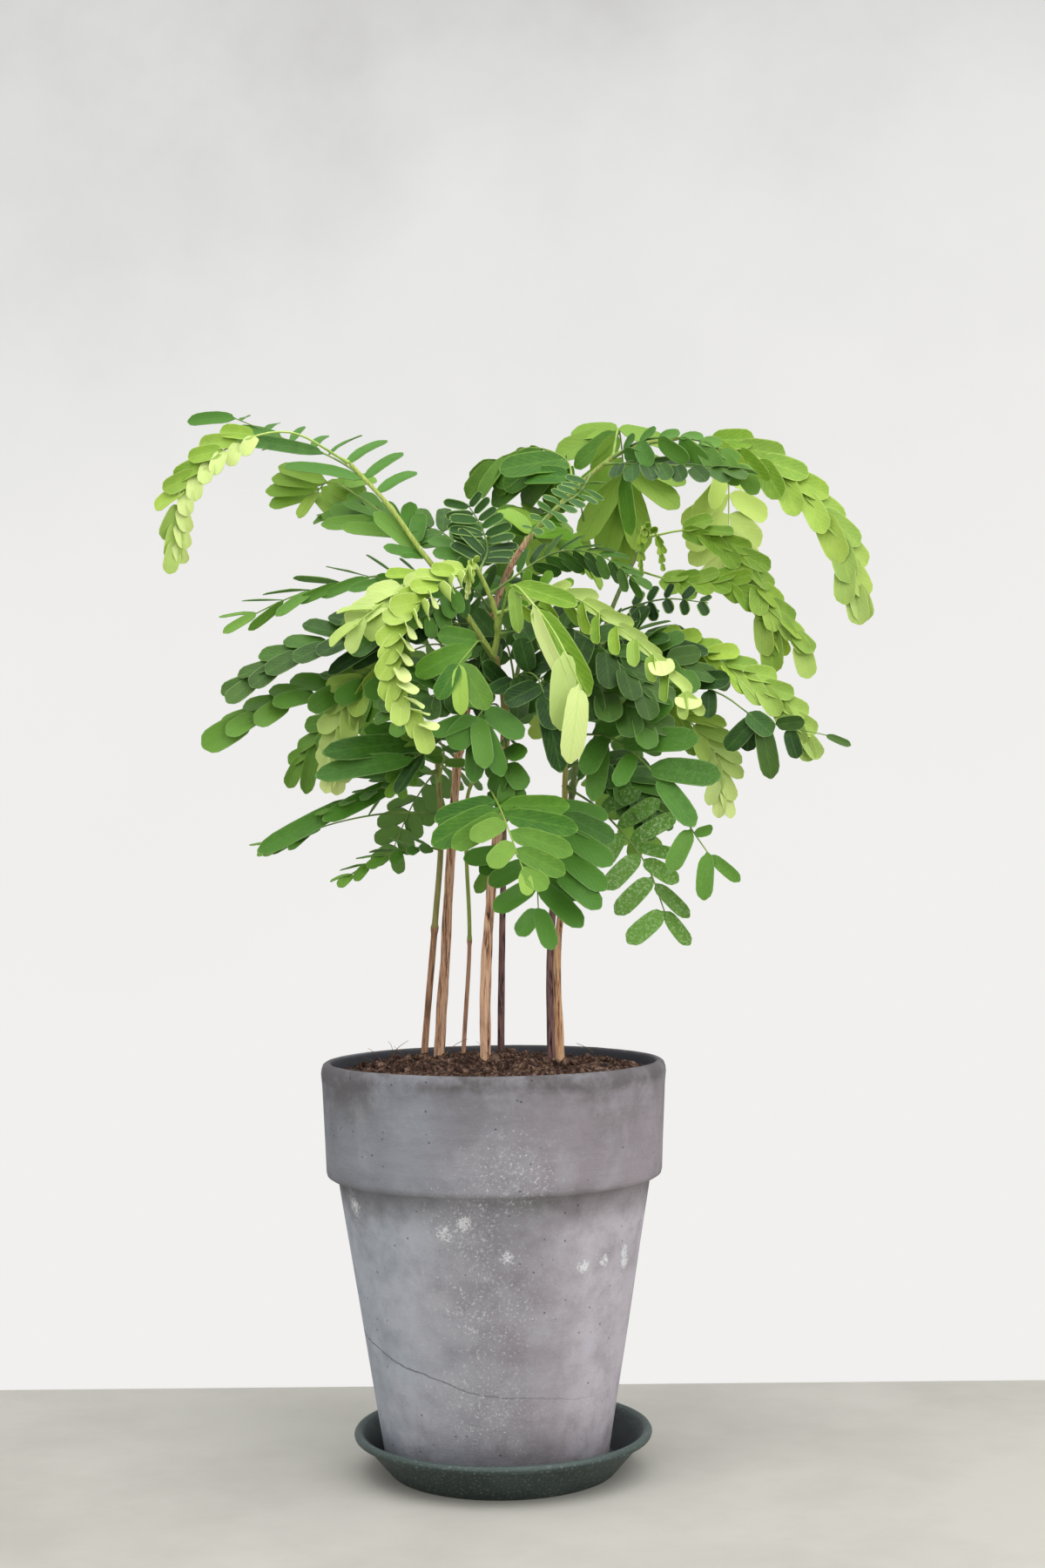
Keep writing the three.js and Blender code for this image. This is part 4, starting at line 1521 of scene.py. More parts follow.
@dataclass
class Compost:
    """The compost in the pot: a low dome of crumbs with clods and coir fibres on it."""

    edge_z: float = 160.6
    crown_z: float = 165.4
    radius: float = 64.2
    clods: int = 420
    fibres: int = 110
    rings: int = 34
    sides: int = 150

    FIBRE_POINTS = 6

    def build(self, finish: CompostFinish, fibre: CompostFinish) -> Object:
        """Makes the compost.

        Args:
            finish: Finish of the crumbs.
            fibre: Finish of the fibres.

        Returns:
            The compost as one piece.
        """
        chance = random.Random("compost")
        profile = [(self.radius - 1.0, self.edge_z - 12)]
        for i in range(self.rings):
            share = i / self.rings
            height = self.crown_z - (self.crown_z - self.edge_z) * (1 - share) ** 2
            profile.append((self.radius * (1 - share), height))
        bed = turned_shell("compost", profile, self.sides, POT_X)
        push_out(bed, self._crumble)
        bed.data.materials.append(finish.build())
        smooth(bed, 80)
        pieces = [bed, *self._clods(chance, bed.data.materials[0]), *self._fibres(chance, fibre.build())]
        return joined("compost", pieces)

    def _crumble(self, place: Vector) -> float:
        """Height of the crumbs in millimetres.

        Args:
            place: A place on the dome in metres.

        Returns:
            The height above the dome.
        """
        if place.z < (self.edge_z - 2) * MM:
            return 0.0
        return 2.2 * noise_at(place, 90) + 2.2 * noise_at(place, 230) + 1.2 * noise_at(place, 520)

    def _spot(self, chance: random.Random, most: float) -> Vector:
        """A place on the compost, in millimetres.

        Args:
            chance: The compost's own source of small differences.
            most: Its greatest distance from the middle in millimetres.

        Returns:
            The place.
        """
        angle = chance.uniform(0, 2 * math.pi)
        reach = math.sqrt(chance.random()) * most
        height = self.edge_z + (self.crown_z - self.edge_z) * (1 - (reach / self.radius) ** 2)
        return Vector((POT_X + reach * math.cos(angle), reach * math.sin(angle), height))

    def _clods(self, chance: random.Random, material: Material) -> list[Object]:
        """Models one lumpy clod and scatters copies of it.

        Args:
            chance: The compost's own source of small differences.
            material: Their finish.

        Returns:
            The clods.
        """
        deselect_all()
        bpy.ops.mesh.primitive_ico_sphere_add(subdivisions=2, radius=MM)
        clod = bpy.context.view_layer.objects.active
        for point in clod.data.vertices:
            point.co *= 1 + 0.45 * noise.noise(point.co * 1400)
        smooth(clod, 60)
        copies = []
        for _ in range(self.clods):
            size = chance.uniform(0.5, 1.5) + 1.5 * chance.random() ** 4
            copy = bpy.data.objects.new("clod", clod.data.copy())
            bpy.context.scene.collection.objects.link(copy)
            copy.location = (self._spot(chance, self.radius - 2.5) + Vector((0, 0, 0.3 * size))) * MM
            copy.rotation_euler = (chance.uniform(0, 6), chance.uniform(0, 6), chance.uniform(0, 6))
            copy.scale = (size * chance.uniform(0.8, 1.3), size, size * chance.uniform(0.6, 0.9))
            copy.data.materials.append(material)
            copies.append(copy)
        bpy.data.objects.remove(clod)
        return copies

    def _fibres(self, chance: random.Random, material: Material) -> list[Object]:
        """Lays curved coir fibres, of which some stand up.

        Args:
            chance: The compost's own source of small differences.
            material: Their finish.

        Returns:
            The fibres.
        """
        made = []
        last = self.FIBRE_POINTS - 1
        for _ in range(self.fibres):
            start = self._spot(chance, self.radius - 14)
            turn = chance.uniform(0, 2 * math.pi)
            length = chance.uniform(4, 15)
            climb = chance.uniform(-0.05, 0.2) if chance.random() < 0.75 else chance.uniform(0.4, 1.1)
            ahead = Vector((math.cos(turn), math.sin(turn), climb)).normalized()
            bow = Vector((-math.sin(turn), math.cos(turn), chance.uniform(-0.2, 0.6)))
            points = []
            for i in range(self.FIBRE_POINTS):
                share = i / last
                arch = math.sin(math.pi * share) * length * 0.16
                points.append(start + ahead * (length * share) + bow * arch)
            thick = chance.uniform(0.1, 0.24)
            radii = [thick * (1 - 0.5 * i / last) for i in range(self.FIBRE_POINTS)]
            made.append(tube("fibre", points, radii, material, roundness=0))
        return made


@dataclass
class Studio:
    """The camera at the photograph's view, a pale floor and soft light."""

    eye: Point = (10, -870, 248)
    focal_px: float = 2455
    image_px: tuple[int, int] = (1200, 1800)
    horizon_px: float = 84
    roll: float = 0.0096
    floor_back: float = 134.7

    def set_camera(self) -> None:
        """Sets the camera, which looks level along +Y with its frame raised."""
        data = bpy.data.cameras.new("view")
        data.sensor_width = 36
        data.lens = self.focal_px / max(self.image_px) * data.sensor_width
        data.shift_y = self.horizon_px / max(self.image_px)
        data.clip_start = 0.05
        data.clip_end = 50
        camera = bpy.data.objects.new("view", data)
        bpy.context.scene.collection.objects.link(camera)
        camera.location = [c * MM for c in self.eye]
        camera.rotation_euler = (math.pi / 2, self.roll, 0)
        bpy.context.scene.camera = camera

    def light(self) -> None:
        """Lights the part with a pale sky and large soft lamps."""
        scene = bpy.context.scene
        scene.view_settings.view_transform = "Standard"
        world = bpy.data.worlds.new("daylight")
        scene.world = world
        world.use_nodes = True
        tree = world.node_tree
        tree.nodes.clear()
        # Painted shade on the wall seen behind: paler low down and on the right, darker toward the top,
        # with soft clouds
        way = add_node(tree, "TexCoord").outputs["Generated"]
        split = add_node(tree, "SeparateXYZ", {"Vector": way})
        clouds = add_node(tree, "TexNoise", {"Vector": way, "Scale": 5, "Detail": 6, "Roughness": 0.62})
        height = add_node(
            tree, "Math", {0: clouds, 1: 0.3, 2: split.outputs["Z"]}, operation="MULTIPLY_ADD"
        )
        slope = add_node(
            tree, "Math", {0: split.outputs["X"], 1: -0.2, 2: height}, operation="MULTIPLY_ADD"
        )
        shade = add_node(
            tree, "ValToRGB", {"Fac": slope},
            stops=[
                (0.1, "#f1f0ee"), (0.3, "#eeedeb"), (0.42, "#e6e6e4"), (0.5, "#dcdcda"), (0.59, "#c8c7c6")
            ],
        )
        wall = add_node(tree, "Background", {"Color": shade, "Strength": 1.0})
        sky = add_node(tree, "Background", {"Color": "#eceef0", "Strength": 0.64})
        path = add_node(tree, "LightPath")
        seen = add_node(tree, "MixShader", {0: path.outputs["Is Camera Ray"], 1: sky, 2: wall})
        add_node(tree, "OutputWorld", {"Surface": seen})
        self._lamp("window", (-0.8, -1.0, 1.2), 1.5, 8.5)
        self._lamp("second_window", (1.0, -0.9, 1.0), 1.5, 13.5)
        self._lamp("ceiling", (0.1, -0.2, 1.6), 1.8, 15)

    @staticmethod
    def _lamp(name: str, place: Point, size: float, watts: float) -> None:
        """Hangs one soft lamp that faces the plant.

        Args:
            name: Its name.
            place: Where it hangs, in metres.
            size: Length of its side in metres.
            watts: Its power.
        """
        data = bpy.data.lights.new(name, "AREA")
        data.size = size
        data.energy = watts
        lamp = bpy.data.objects.new(name, data)
        bpy.context.scene.collection.objects.link(lamp)
        lamp.location = place
        aim = Vector((0, 0, 0.24)) - Vector(place)
        lamp.rotation_euler = aim.to_track_quat("-Z", "Y").to_euler()

    def lay_floor(self, finish: StoneFinish) -> None:
        """Lays the pale slab that the saucer stands on.

        Args:
            finish: Its finish.
        """
        depth, width, thickness = 1400.0, 3200.0, 24.0
        deselect_all()
        middle = (0, (self.floor_back - depth / 2) * MM, -thickness / 2 * MM)
        scale = (width * MM, depth * MM, thickness * MM)
        bpy.ops.mesh.primitive_cube_add(size=1, location=middle, scale=scale)
        floor = bpy.context.view_layer.objects.active
        floor.name = "floor"
        settle(floor)
        floor.data.materials.append(finish.build())


@dataclass
class Plant:
    """The seven stems with their shoots and all the fronds."""

    stems: dict[str, Stem]
    fronds: list[Frond]
    inner_fronds: list[Frond]

    def build(self) -> None:
        """Makes the stems and the fronds and puts them on the part."""
        self._build_stems()
        leaf = {age: finish.build() for age, finish in LEAVES.items()}
        stalk = {age: finish.build() for age, finish in STALKS.items()}
        pattern = LeafletPattern()
        for frond in [*self.fronds, *self.inner_fronds]:
            piece = frond.build(self.stems[frond.stem], pattern, leaf[frond.age], stalk[frond.age])
            nodes = [f"frond_{frond.name}"] if frond in self.fronds else []
            place_on_part(piece, LEAF_SLOTS[frond.age], *nodes)
        pattern.remove()

    def _build_stems(self) -> None:
        """Makes each stem, with its shoots joined to it."""
        finishes = {stem.finish.name: stem.finish for stem in self.stems.values()}
        materials = {name: finish.build() for name, finish in finishes.items()}
        for node in dict.fromkeys(stem.node for stem in self.stems.values()):
            members = [stem for stem in self.stems.values() if stem.node == node]
            pieces = [stem.build(materials[stem.finish.name]) for stem in members]
            whole = joined(f"wood_{members[0].name}", pieces)
            place_on_part(whole, members[0].wood.value, node)


PEELING = BarkFinish("peeling_bark", "#bc8665", "#eec2a0", "#4e342c", "#8c7a42", "#b0a060", 292, 40)
TALL_BARK = BarkFinish("tall_bark", "#bc8665", "#eec2a0", "#4e342c", "#7c9040", "#a6b658", 382, 20)
BROWN_TO_GREEN = BarkFinish("ringed_bark", "#8a6048", "#bd9070", "#3a2824", "#857f48", "#aaa462", 219, 2)
SLENDER_GREEN = BarkFinish(
    "slender_bark", "#a07058", "#cc9e80", "#54382e", "#8fa44c", "#b2c268", 212.6, 1.5
)
DARK_BARK = BarkFinish("dark_young_bark", "#574044", "#94706a", "#221a1e", "#5f7240", "#8a9a58", 262, 60)
PALE_BARK = BarkFinish("pale_young_bark", "#b27c56", "#e0b48a", "#54382c", "#a8a050", "#cabf70", 262, 40)
GREEN_SHOOT = BarkFinish("green_shoot", "#8f9c48", "#b4c064", "#6a7438", "#98ac48", "#bccc6c", 300, 10)

STEMS = {
    stem.name: stem
    for stem in (
        Stem("far_left", "stem_far_left", Wood.GREEN, 1.5, 1.1, ((-32, 25, 162), (-27, 24, 219),
             (-24, 22, 255), (-25, 18, 290)), BROWN_TO_GREEN, rings=(218.5, 254)),
        Stem("left", "stem_left", Wood.BARK, 2.5, 0.8, ((-26, 32, 164), (-23, 32, 206), (-20, 31, 251),
             (-16, 28, 293), (-8, 22, 330), (1, 14, 356), (10, 10, 374), (25, 10, 391), (53, 13, 415),
             (83, 10, 421)), TALL_BARK, rings=(293, 330)),
        Stem("slender", "stem_slender", Wood.GREEN, 1.0, 0.8, ((-16, 45, 164), (-13, 45, 213),
             (-14, 44, 253), (-13, 42, 275), (-9, 40, 284)), SLENDER_GREEN, rings=(212.6, 253)),
        Stem("centre", "stem_centre", Wood.BARK, 2.4, 1.5, ((-6, -5, 161), (-5, -5, 207), (-2, -4, 242),
             (2, -3, 278), (3, -4, 314), (-1, -6, 330)), PEELING, rings=(278, 328)),
        Stem("shoot_left", "stem_centre", Wood.GREEN, 1.4, 0.8, ((-1, -6, 329), (-11, -6, 345),
             (-22, -4, 362), (-31, -3, 374), (-42, -2, 390), (-59, -2, 409)), GREEN_SHOOT, rings=(362,
             390)),
        Stem("shoot_top", "stem_centre", Wood.GREEN, 1.4, 0.8, ((-1, -6, 329), (1, -8, 340), (-1, -11, 350),
             (-8, -14, 366)), GREEN_SHOOT, rings=(341, )),
        Stem("back", "stem_back", Wood.DARK, 1.7, 0.8, ((0, 45, 166), (1, 42, 215), (2, 38, 247),
             (3, 32, 286), (8, 26, 322), (14, 24, 348)), DARK_BARK, rings=(247, )),
        Stem("right", "stem_right", Wood.DARK, 1.8, 0.8, ((21, 3, 162), (21, 6, 207), (24, 11, 241),
             (31, 18, 275), (35, 26, 308), (49, 34, 353), (65, 36, 386)), DARK_BARK, rings=(275, 308)),
        Stem("pale", "stem_pale", Wood.BARK, 2.0, 0.9, ((24.2, -5, 163), (23.6, -5, 207), (27, -6, 242),
             (28, -5, 286), (32, -2, 306), (39, 2, 320)), PALE_BARK, rings=(286, )),
    )
}

FRONDS = [
    Frond("left_tip_arch", "shoot_left", Age.LIME, FRONT, 9, 17, ((-59, -2, 409), (-82, -14, 419),
          (-105, -24, 411), (-121, -30, 394), (-125, -32, 370)), wide=8, bare=42, fold=16, cup=40, bend=24,
          lean=(26, 16), left_size=0.74, left_lean=12, youth=0.3, left_youth=0.7, tone=0.3, lift=9,
          taper=0.05),
    Frond("left_top_blade", "shoot_left", Age.MATURE, UP, 0, 23, ((-41, 0, 389), (-57, 10, 407),
          (-70, 18, 416), (-86, 30, 424), (-111, 46, 437)), tone=0.9,
          singles=((0.12, (-33, 14, 412), 7, 12), (0.22, (-39, 20, 420), 7, 12),
          (0.34, (-46, 26, 427), 7, 12), (0.44, (-58, 32, 430), 6, -12), (0.54, (-72, 40, 431), 5, -14),
          (0.66, (-83, 46, 435), 5, -14), (0.82, (-94, 50, 438), 5, -14), (0.97, (-107, 54, 441), 4, -14),
          (0.22, (-88, 14, 415), 7, -36), (0.46, (-112, 30, 428), 6.5, -40),
          (0.72, (-114, 44, 435), 6, -30), (1, (-134, 50, 439), 6.5, -45), (0.6, (-100, 36, 426), 6, -20))),
    Frond("left_top_back", "shoot_left", Age.MID, FRONT, 0, 22, ((-36, -3, 381), (-56, 18, 398),
          (-70, 36, 408), (-78, 54, 406)), tone=1, singles=((0.85, (-98, 50, 414), 7, 0, 0.5),
          (0.92, (-100, 50, 408), 7, 0, 0.4), (1, (-98, 50, 402), 7, 0, 0.4),
          (0.6, (-50, 44, 413), 7, 0, 0.2), (0.7, (-54, 44, 407), 7, 0, 0.3),
          (0.8, (-55, 40, 400), 8, 0, 0.6), (0.9, (-60, 36, 396), 7, 0, 0.7),
          (1, (-68, 38, 395), 7, 0, 0.8), (0.95, (-85, 44, 395), 6.5, 20, 1),
          (0.78, (-95, 52, 419), 6.5, 0, 0.6))),
    Frond("left_grey", "shoot_left", Age.MATURE, HALF, 7, 21, ((-26, 0, 371), (-41, 14, 386),
          (-57, 24, 393), (-68, 32, 393)), wide=8, lean=(30, 10), fold=4, tone=1, youth=0.6, droop=0,
          bend=4, singles=((0.5, (-72, 12, 387), 6.5, -25, 0.5), (0.3, (-63, 5, 384.5), 6, -25, 0.5),
          (0.04, (-49, -2, 389), 7.5, -20, 0.5), (0.02, (-45, -6, 374), 5.5, -10),
          (0.01, (-38, -8, 370), 4.5))),
    Frond("top_comb", "shoot_top", Age.DARK, FRONT, 9, 14, ((-6, -13, 363), (-3, -6, 373), (-6, -5, 383),
          (-11, -6, 391)), wide=4.4, bare=6, lean=(84, 72), left_lean=-20, left_size=1.38, cup=8, twist=4,
          tone=0.5, taper=0.4),
    Frond("top_cells", "left", Age.DARK, FRONT, 8, 11, ((41, 6, 404), (34, -10, 394), (24, -28, 385),
          (14, -44, 373)), wide=5.2, lean=(66, 50), taper=0.45, tone=1, youth=0.4, bend=6, left_size=1.2,
          twist=2, droop=2),
    Frond("top_broad", "left", Age.MID, FRONT, 8, 29, ((31, 12, 399), (30, 30, 415), (15, 44, 423),
          (-2, 56, 419)), wide=11.5, lean=(60, 26), fold=-70, left_fold=-6, taper=0.1, tone=0, youth=0.2,
          left_lean=2, singles=((0.4, (6, 50, 399), 12, 0, 0.2), (0.25, (18, 46, 396), 12, 0, 0.3),
          (0.2, (26, 44, 393), 11, 0, 0.3), (0.5, (-5, 52, 401), 12, 0, 0.1))),
    Frond("top_back", "left", Age.MID, FRONT, 0, 28, ((48, 13, 414), (52, 32, 428), (54, 48, 426),
          (56, 60, 410)), tone=0.5, bend=8, singles=((0.45, (32, 50, 431), 8.5, 0, 0.5),
          (0.55, (25, 44, 421), 11, 0, 0.6), (0.4, (75, 40, 424), 9, 0, 0.4),
          (0.35, (33, 40, 414), 10, 0, 0.1), (0.3, (42, 36, 408), 9, 0, 0.4),
          (0.75, (82, 46, 409), 10, 0, 0.7), (0.85, (79, 50, 398), 11, 0, 0.9),
          (0.95, (64, 60, 380), 13, 0, 1), (0.9, (57, 40, 385), 8, 40), (1, (46, 60, 378), 13, 0, 0.8),
          (0.8, (32, 56, 402), 11, 0, 0.4), (1, (55, 66, 372), 12, 0, 1),
          (0.9, (36, 52, 385), 12, 0, 0.8))),
    Frond("right_top_dark", "left", Age.MATURE, FRONT, 7, 22, ((50, 12, 413), (62, -2, 417), (84, -16, 413),
          (100, -24, 400)), wide=8.5, bare=6, lean=(40, 20), left_size=0.5, left_lean=-16, tone=0.8,
          twist=24, youth=0.5),
    Frond("right_top_arch", "left", Age.LIME, FRONT, 9, 25, ((83, 10, 420), (104, 4, 412), (123, -2, 398),
          (139, -6, 376), (146.5, -8, 352)), wide=11, bare=6, fold=8, left_fold=-4, cup=24, twist=26,
          left_twist=6, lean=(28, 12), left_lean=-8, left_size=0.9, taper=0.15, tone=0.3, youth=0.4,
          lift=8),
    Frond("right_top_low", "left", Age.MATURE, UP, 8, 19, ((47, 10, 409), (62, -8, 406), (80, -22, 402),
          (94, -32, 399)), wide=7.5, fold=-14, left_fold=4, lean=(50, 24), tone=0),
    Frond("right_top_hanging", "left", Age.PALE, FRONT, 6, 25, ((80, 13, 420), (98, 40, 413),
          (100, 48, 397), (99, 50, 374)), wide=11, bare=32, fold=-4, lean=(76, 34), tone=0.9, youth=0.4,
          lift=0, taper=0.1),
    Frond("centre_dark_arch", "shoot_top", Age.MATURE, HALF, 10, 14, ((-2, -10, 354), (25, -14, 370),
          (42, -24, 367), (55, -34, 356)), wide=5.5, bare=14, fold=-50, left_fold=-5, lean=(46, 24),
          twist=14, tone=0.15),
    Frond("right_upper_lime", "right", Age.LIME, FRONT, 9, 17, ((64, 34, 384), (84, 26, 384),
          (102, 18, 371), (112.5, 11, 352), (124, 6, 336)), wide=8.5, bare=16, fold=-4, left_fold=4, cup=24,
          lean=(20, 10), tone=0.1, youth=0.1, droop=3, lift=8, singles=((1, (128, 4, 320), 9, 0, 0.3), )),
    Frond("right_middle", "right", Age.LIME, FRONT, 10, 14, ((59, 32, 369), (76, 22, 362.5), (94, 16, 361),
          (109, 12, 351), (116, 10, 336)), wide=7, bare=16, lean=(24, 12), tone=0, youth=0, lift=8,
          singles=((0.9, (113, 6, 323), 10, 10, 0.1), (0.8, (110, 6, 330), 9, 30, 0.2))),
    Frond("right_small_dark", "right", Age.DARK, FRONT, 5, 10, ((49, 32, 350), (56, 14, 351), (70, 4, 353),
          (86, -6, 350)), wide=5.4, bare=22, tone=0, lean=(64, 40), fold=6, twist=4, droop=2,
          left_size=0.8),
    Frond("right_inner", "right", Age.MATURE, HALF, 7, 22, ((35, 20, 322), (52, 8, 336), (74, 6, 334),
          (90, 4, 324)), wide=10, lean=(46, 24), tone=0.1, singles=((0.35, (67, -16, 338), 9),
          (0.6, (84, -16, 331), 9))),
    Frond("centre_lime_tip", "shoot_top", Age.LIME, FRONT, 10, 17, ((0, -10, 346), (28, -26, 351),
          (46, -42, 338), (62, -54, 323), (74, -62, 306)), wide=6.2, cup=36, fold=20, twist=40,
          left_twist=10, lean=(52, 44), left_lean=-36, bend=26, youth=0.1, tone=0.3, left_youth=0.4,
          singles=((0.8, (64, -62, 318), 10.5, 0, 0.9), (0.98, (73, -66, 304), 11, 0, 0.9))),
    Frond("centre_big_lime", "shoot_top", Age.LIME, FRONT, 0, 30, ((1, -8, 341), (7, -30, 355),
          (15, -42, 346), (24, -54, 332), (33, -64, 311)), tone=0, bend=26, cup=30,
          singles=((0.3, (31, -46, 347), 8.5), (0.3, (9, -40, 337), 5.5, 0, 0.1), (0.5, (37, -56, 312), 11),
          (0.49, (21, -66, 315), 6.5, 45, 0.8), (0.8, (25, -68, 297), 10.5, 0, 0.5),
          (0.97, (29, -72, 284), 10, 0, 0.8))),
    Frond("centre_feather", "shoot_top", Age.PALE, FRONT, 15, 15, ((-8, -14, 365), (-24, -34, 353),
          (-36, -48, 334), (-36, -54, 312), (-27, -58, 297)), wide=9, fold=14, left_fold=30, cup=30,
          lean=(34, 18), bare=6, left_twist=84, left_size=0.72, left_lean=28, taper=0.05, tone=0.2,
          youth=0.1, left_youth=0.6, lift=9),
    Frond("centre_cup", "shoot_left", Age.LIME, HALF, 0, 22, ((-24, -4, 364), (-32, -20, 358),
          (-41, -34, 350), (-54, -46, 338)), cup=46, tone=0.4, singles=((0.15, (-33, -30, 357), 9, 0, 0.5),
          (0.3, (-38, -44, 345), 10, 10, 0.4), (0.45, (-49, -36, 350), 12, 0, 0.6),
          (0.62, (-57, -44, 340), 12, -10, 0.6), (0.2, (-43, -22, 361), 8),
          (0.95, (-64, -48, 331), 6, 0, 0.4), (0.8, (-61, -44, 345), 5, 30, 0.4),
          (0.9, (-56, -50, 328), 8, 20, 0.5), (0.7, (-48, -46, 333), 9, 0, 0.3))),
    Frond("left_dark_edge", "shoot_left", Age.MATURE, HALF, 7, 24, ((-16, -4, 352), (-41, 2, 363),
          (-64, 6, 361), (-84, 4, 355), (-103, 3, 346)), wide=5, bare=14, fold=-24, left_fold=-34, lean=(26,
          22), youth=0.6, tone=1, droop=0, lift=14, bend=4, twist=24, left_lean=-2),
    Frond("left_long", "left", Age.MATURE, HALF, 9, 22, ((-4, 18, 345), (-35, -4, 342), (-62, -12, 335.5),
          (-84, -17, 327.5), (-99, -20, 317)), wide=9.5, bare=18, lean=(44, 16), left_twist=30,
          left_lean=-4, taper=0.15, tone=0.1, lift=9, bend=8, singles=((0.35, (-68, -16, 324), 8.5),
          (0.25, (-58, -12, 325), 8))),
    Frond("left_long_low", "left", Age.MATURE, HALF, 8, 20, ((-8, 22, 330), (-39, 0, 322), (-66, -8, 316),
          (-86, -13, 310.5), (-98, -16, 304.5)), wide=9, bare=18, lean=(36, 18), left_twist=40,
          left_lean=-6, taper=0, tone=1, youth=0.4, lift=9, bend=8,
          singles=((1, (-117, -20, 293), 11, -30, 0.4), )),
    Frond("left_lime_hanging", "left", Age.LIME, FRONT, 11, 19, ((-12, 25, 314), (-42, 2, 327),
          (-56, -6, 317), (-63, -9, 300), (-65, -9, 284)), wide=8.5, bare=30, lean=(34, 18), left_twist=34,
          tone=0.2, youth=0.9, fold=10, lift=8),
    Frond("left_back", "left", Age.MID, FRONT, 8, 18, ((-10, 24, 318), (-45, 36, 320), (-68, 44, 308),
          (-84, 50, 292)), wide=8.5, bare=18, lean=(44, 22), tone=0.2,
          singles=((1, (-91, 48, 279), 7, 0, 0.2), (0.9, (-83, 46, 276), 7, 0, 0.2))),
    Frond("left_big_leaflets", "left", Age.MATURE, FRONT, 0, 34, ((-16, 28, 293), (-22, 8, 297),
          (-27, -8, 292), (-33, -14, 288)), tone=0.35, bend=10, singles=((0.6, (-66, -30, 293), 10.5),
          (1, (-71, -28, 283), 9.5), (0.4, (-52, -16, 300), 9), (0.9, (-40, -24, 274), 7, 20))),
    Frond("low_left_upper", "far_left", Age.MATURE, UP, 5, 12, ((-25, 18, 284), (-40, 8, 280),
          (-54, 0, 274), (-70, -6, 266)), wide=4.8, lean=(30, 14), tone=1, youth=0.3, droop=0, lift=6,
          bend=4, singles=((0.1, (-60, -8, 283), 6, -40), (0.75, (-97, -8, 251), 8, -40),
          (0.3, (-70, -12, 264), 8, -45))),
    Frond("low_left_long", "far_left", Age.MATURE, UP, 5, 17, ((-24, 20, 266), (-45, 24, 267),
          (-68, 22, 263), (-93, 18, 254)), wide=4.2, bare=50, youth=0.6, lean=(26, 18), fold=-12,
          left_fold=-26, twist=16, tone=1, droop=2, lift=12, bend=4, singles=((0.42, (-48, 20, 274), 4.5),
          )),
    Frond("low_left_hanging", "far_left", Age.MATURE, UP, 6, 14, ((-24, 22, 252), (-36, 10, 252),
          (-49, 0, 248), (-62, -8, 240)), wide=5, bare=4, lean=(28, 18), fold=-12, left_fold=-32, tone=1,
          youth=0.5, droop=0, lift=12, bend=4, twist=16),
    Frond("low_front", "centre", Age.MID, FRONT, 0, 28, ((0, -4, 270), (-3, -26, 276), (2, -42, 266),
          (6, -50, 255), (11, -56, 241)), tone=0.3, bend=12, cup=12, singles=((0.56, (-25, -48, 254), 11),
          (0.5, (-24, -42, 263), 9), (0.62, (-17, -50, 252), 9, 0, 0.1), (0.66, (-9, -56, 256), 8, 0, 0.3),
          (0.8, (-2, -60, 245), 8.5, 0, 0.3), (0.97, (12, -62, 234), 5.5, 0, 0.6),
          (0.54, (28, -46, 268), 8.5), (0.62, (31, -52, 259), 9), (0.73, (29, -56, 250), 9, 0, 0.1),
          (0.84, (26, -58, 242), 8.5, 0, 0.1), (0.95, (19, -60, 236), 8, 0, 0.2),
          (0.2, (5, -46, 267), 7.5))),
    Frond("low_front_tip", "centre", Age.MATURE, FRONT, 0, 20, ((-1, -4, 248), (8, -16, 250),
          (15, -28, 240), (16, -36, 228)), tone=1, bend=10, singles=((0.75, (-1, -42, 228), 8.5),
          (0.75, (33, -42, 222), 9), (1, (8, -44, 218), 7.5), (1, (21, -46, 213), 7.5),
          (0.5, (-3, -30, 238), 8), (0.5, (33, -32, 232), 9), (0.05, (-10, 0, 233), 6, 0, 0.3),
          (0.3, (-13, -24, 248), 8), (0.2, (-7, -18, 242), 7))),
    Frond("low_front_right", "centre", Age.MATURE, FRONT, 0, 25, ((1, -4, 262), (16, -16, 270),
          (25, -26, 266), (23, -36, 242)), tone=0.9, bend=22, singles=((0.6, (45, -40, 256), 9.5),
          (0.72, (44, -44, 246), 9.5), (0.86, (41, -48, 237), 9), (1, (39, -50, 231), 9),
          (0.5, (43, -34, 264), 8))),
    Frond("low_right_mottled", "pale", Age.MATURE, FRONT, 0, 17, ((28, -5, 276), (40, -10, 268),
          (52, -16, 255), (60, -20, 243), (66, -24, 226)), mottle=0.8, tone=1,
          singles=((0.45, (42, -26, 246), 7.5, 0, 0.3), (0.62, (43, -28, 236), 8, 0, 0.3),
          (0.78, (47, -30, 226), 8, 0, 0.3), (1, (51, -32, 215), 8.5, 0, 0.3),
          (0.25, (56, -22, 274), 7, 0, 0.1), (0.4, (64, -22, 270), 7, 10, 0.2),
          (0.52, (71, -22, 264), 7, 10, 0.2), (0.66, (71, -26, 238), 7, 20, 0.3),
          (0.82, (75, -30, 224), 6, 30, 0.3), (1, (75, -30, 213), 6, 20, 0.3),
          (0.56, (73, -22, 248), 5.5, 20, 0.2))),
    Frond("low_right_big", "pale", Age.MATURE, FRONT, 0, 30, ((30, -4, 298), (46, -20, 295), (62, -34, 280),
          (76, -46, 257), (82, -48, 248)), tone=0.9, bend=14, mottle=0.1,
          singles=((0.13, (66, -40, 308), 11), (0.3, (77, -44, 294), 10.5), (0.5, (86, -48, 279), 11),
          (0.2, (38, -30, 271), 8.5, 0, 0.1), (0.56, (76, -50, 260), 9), (0.86, (66, -52, 243), 8, 10, 0.2),
          (0.98, (79, -52, 231), 7, 0, 0.2), (1, (93, -52, 238), 5, 20, 0.2),
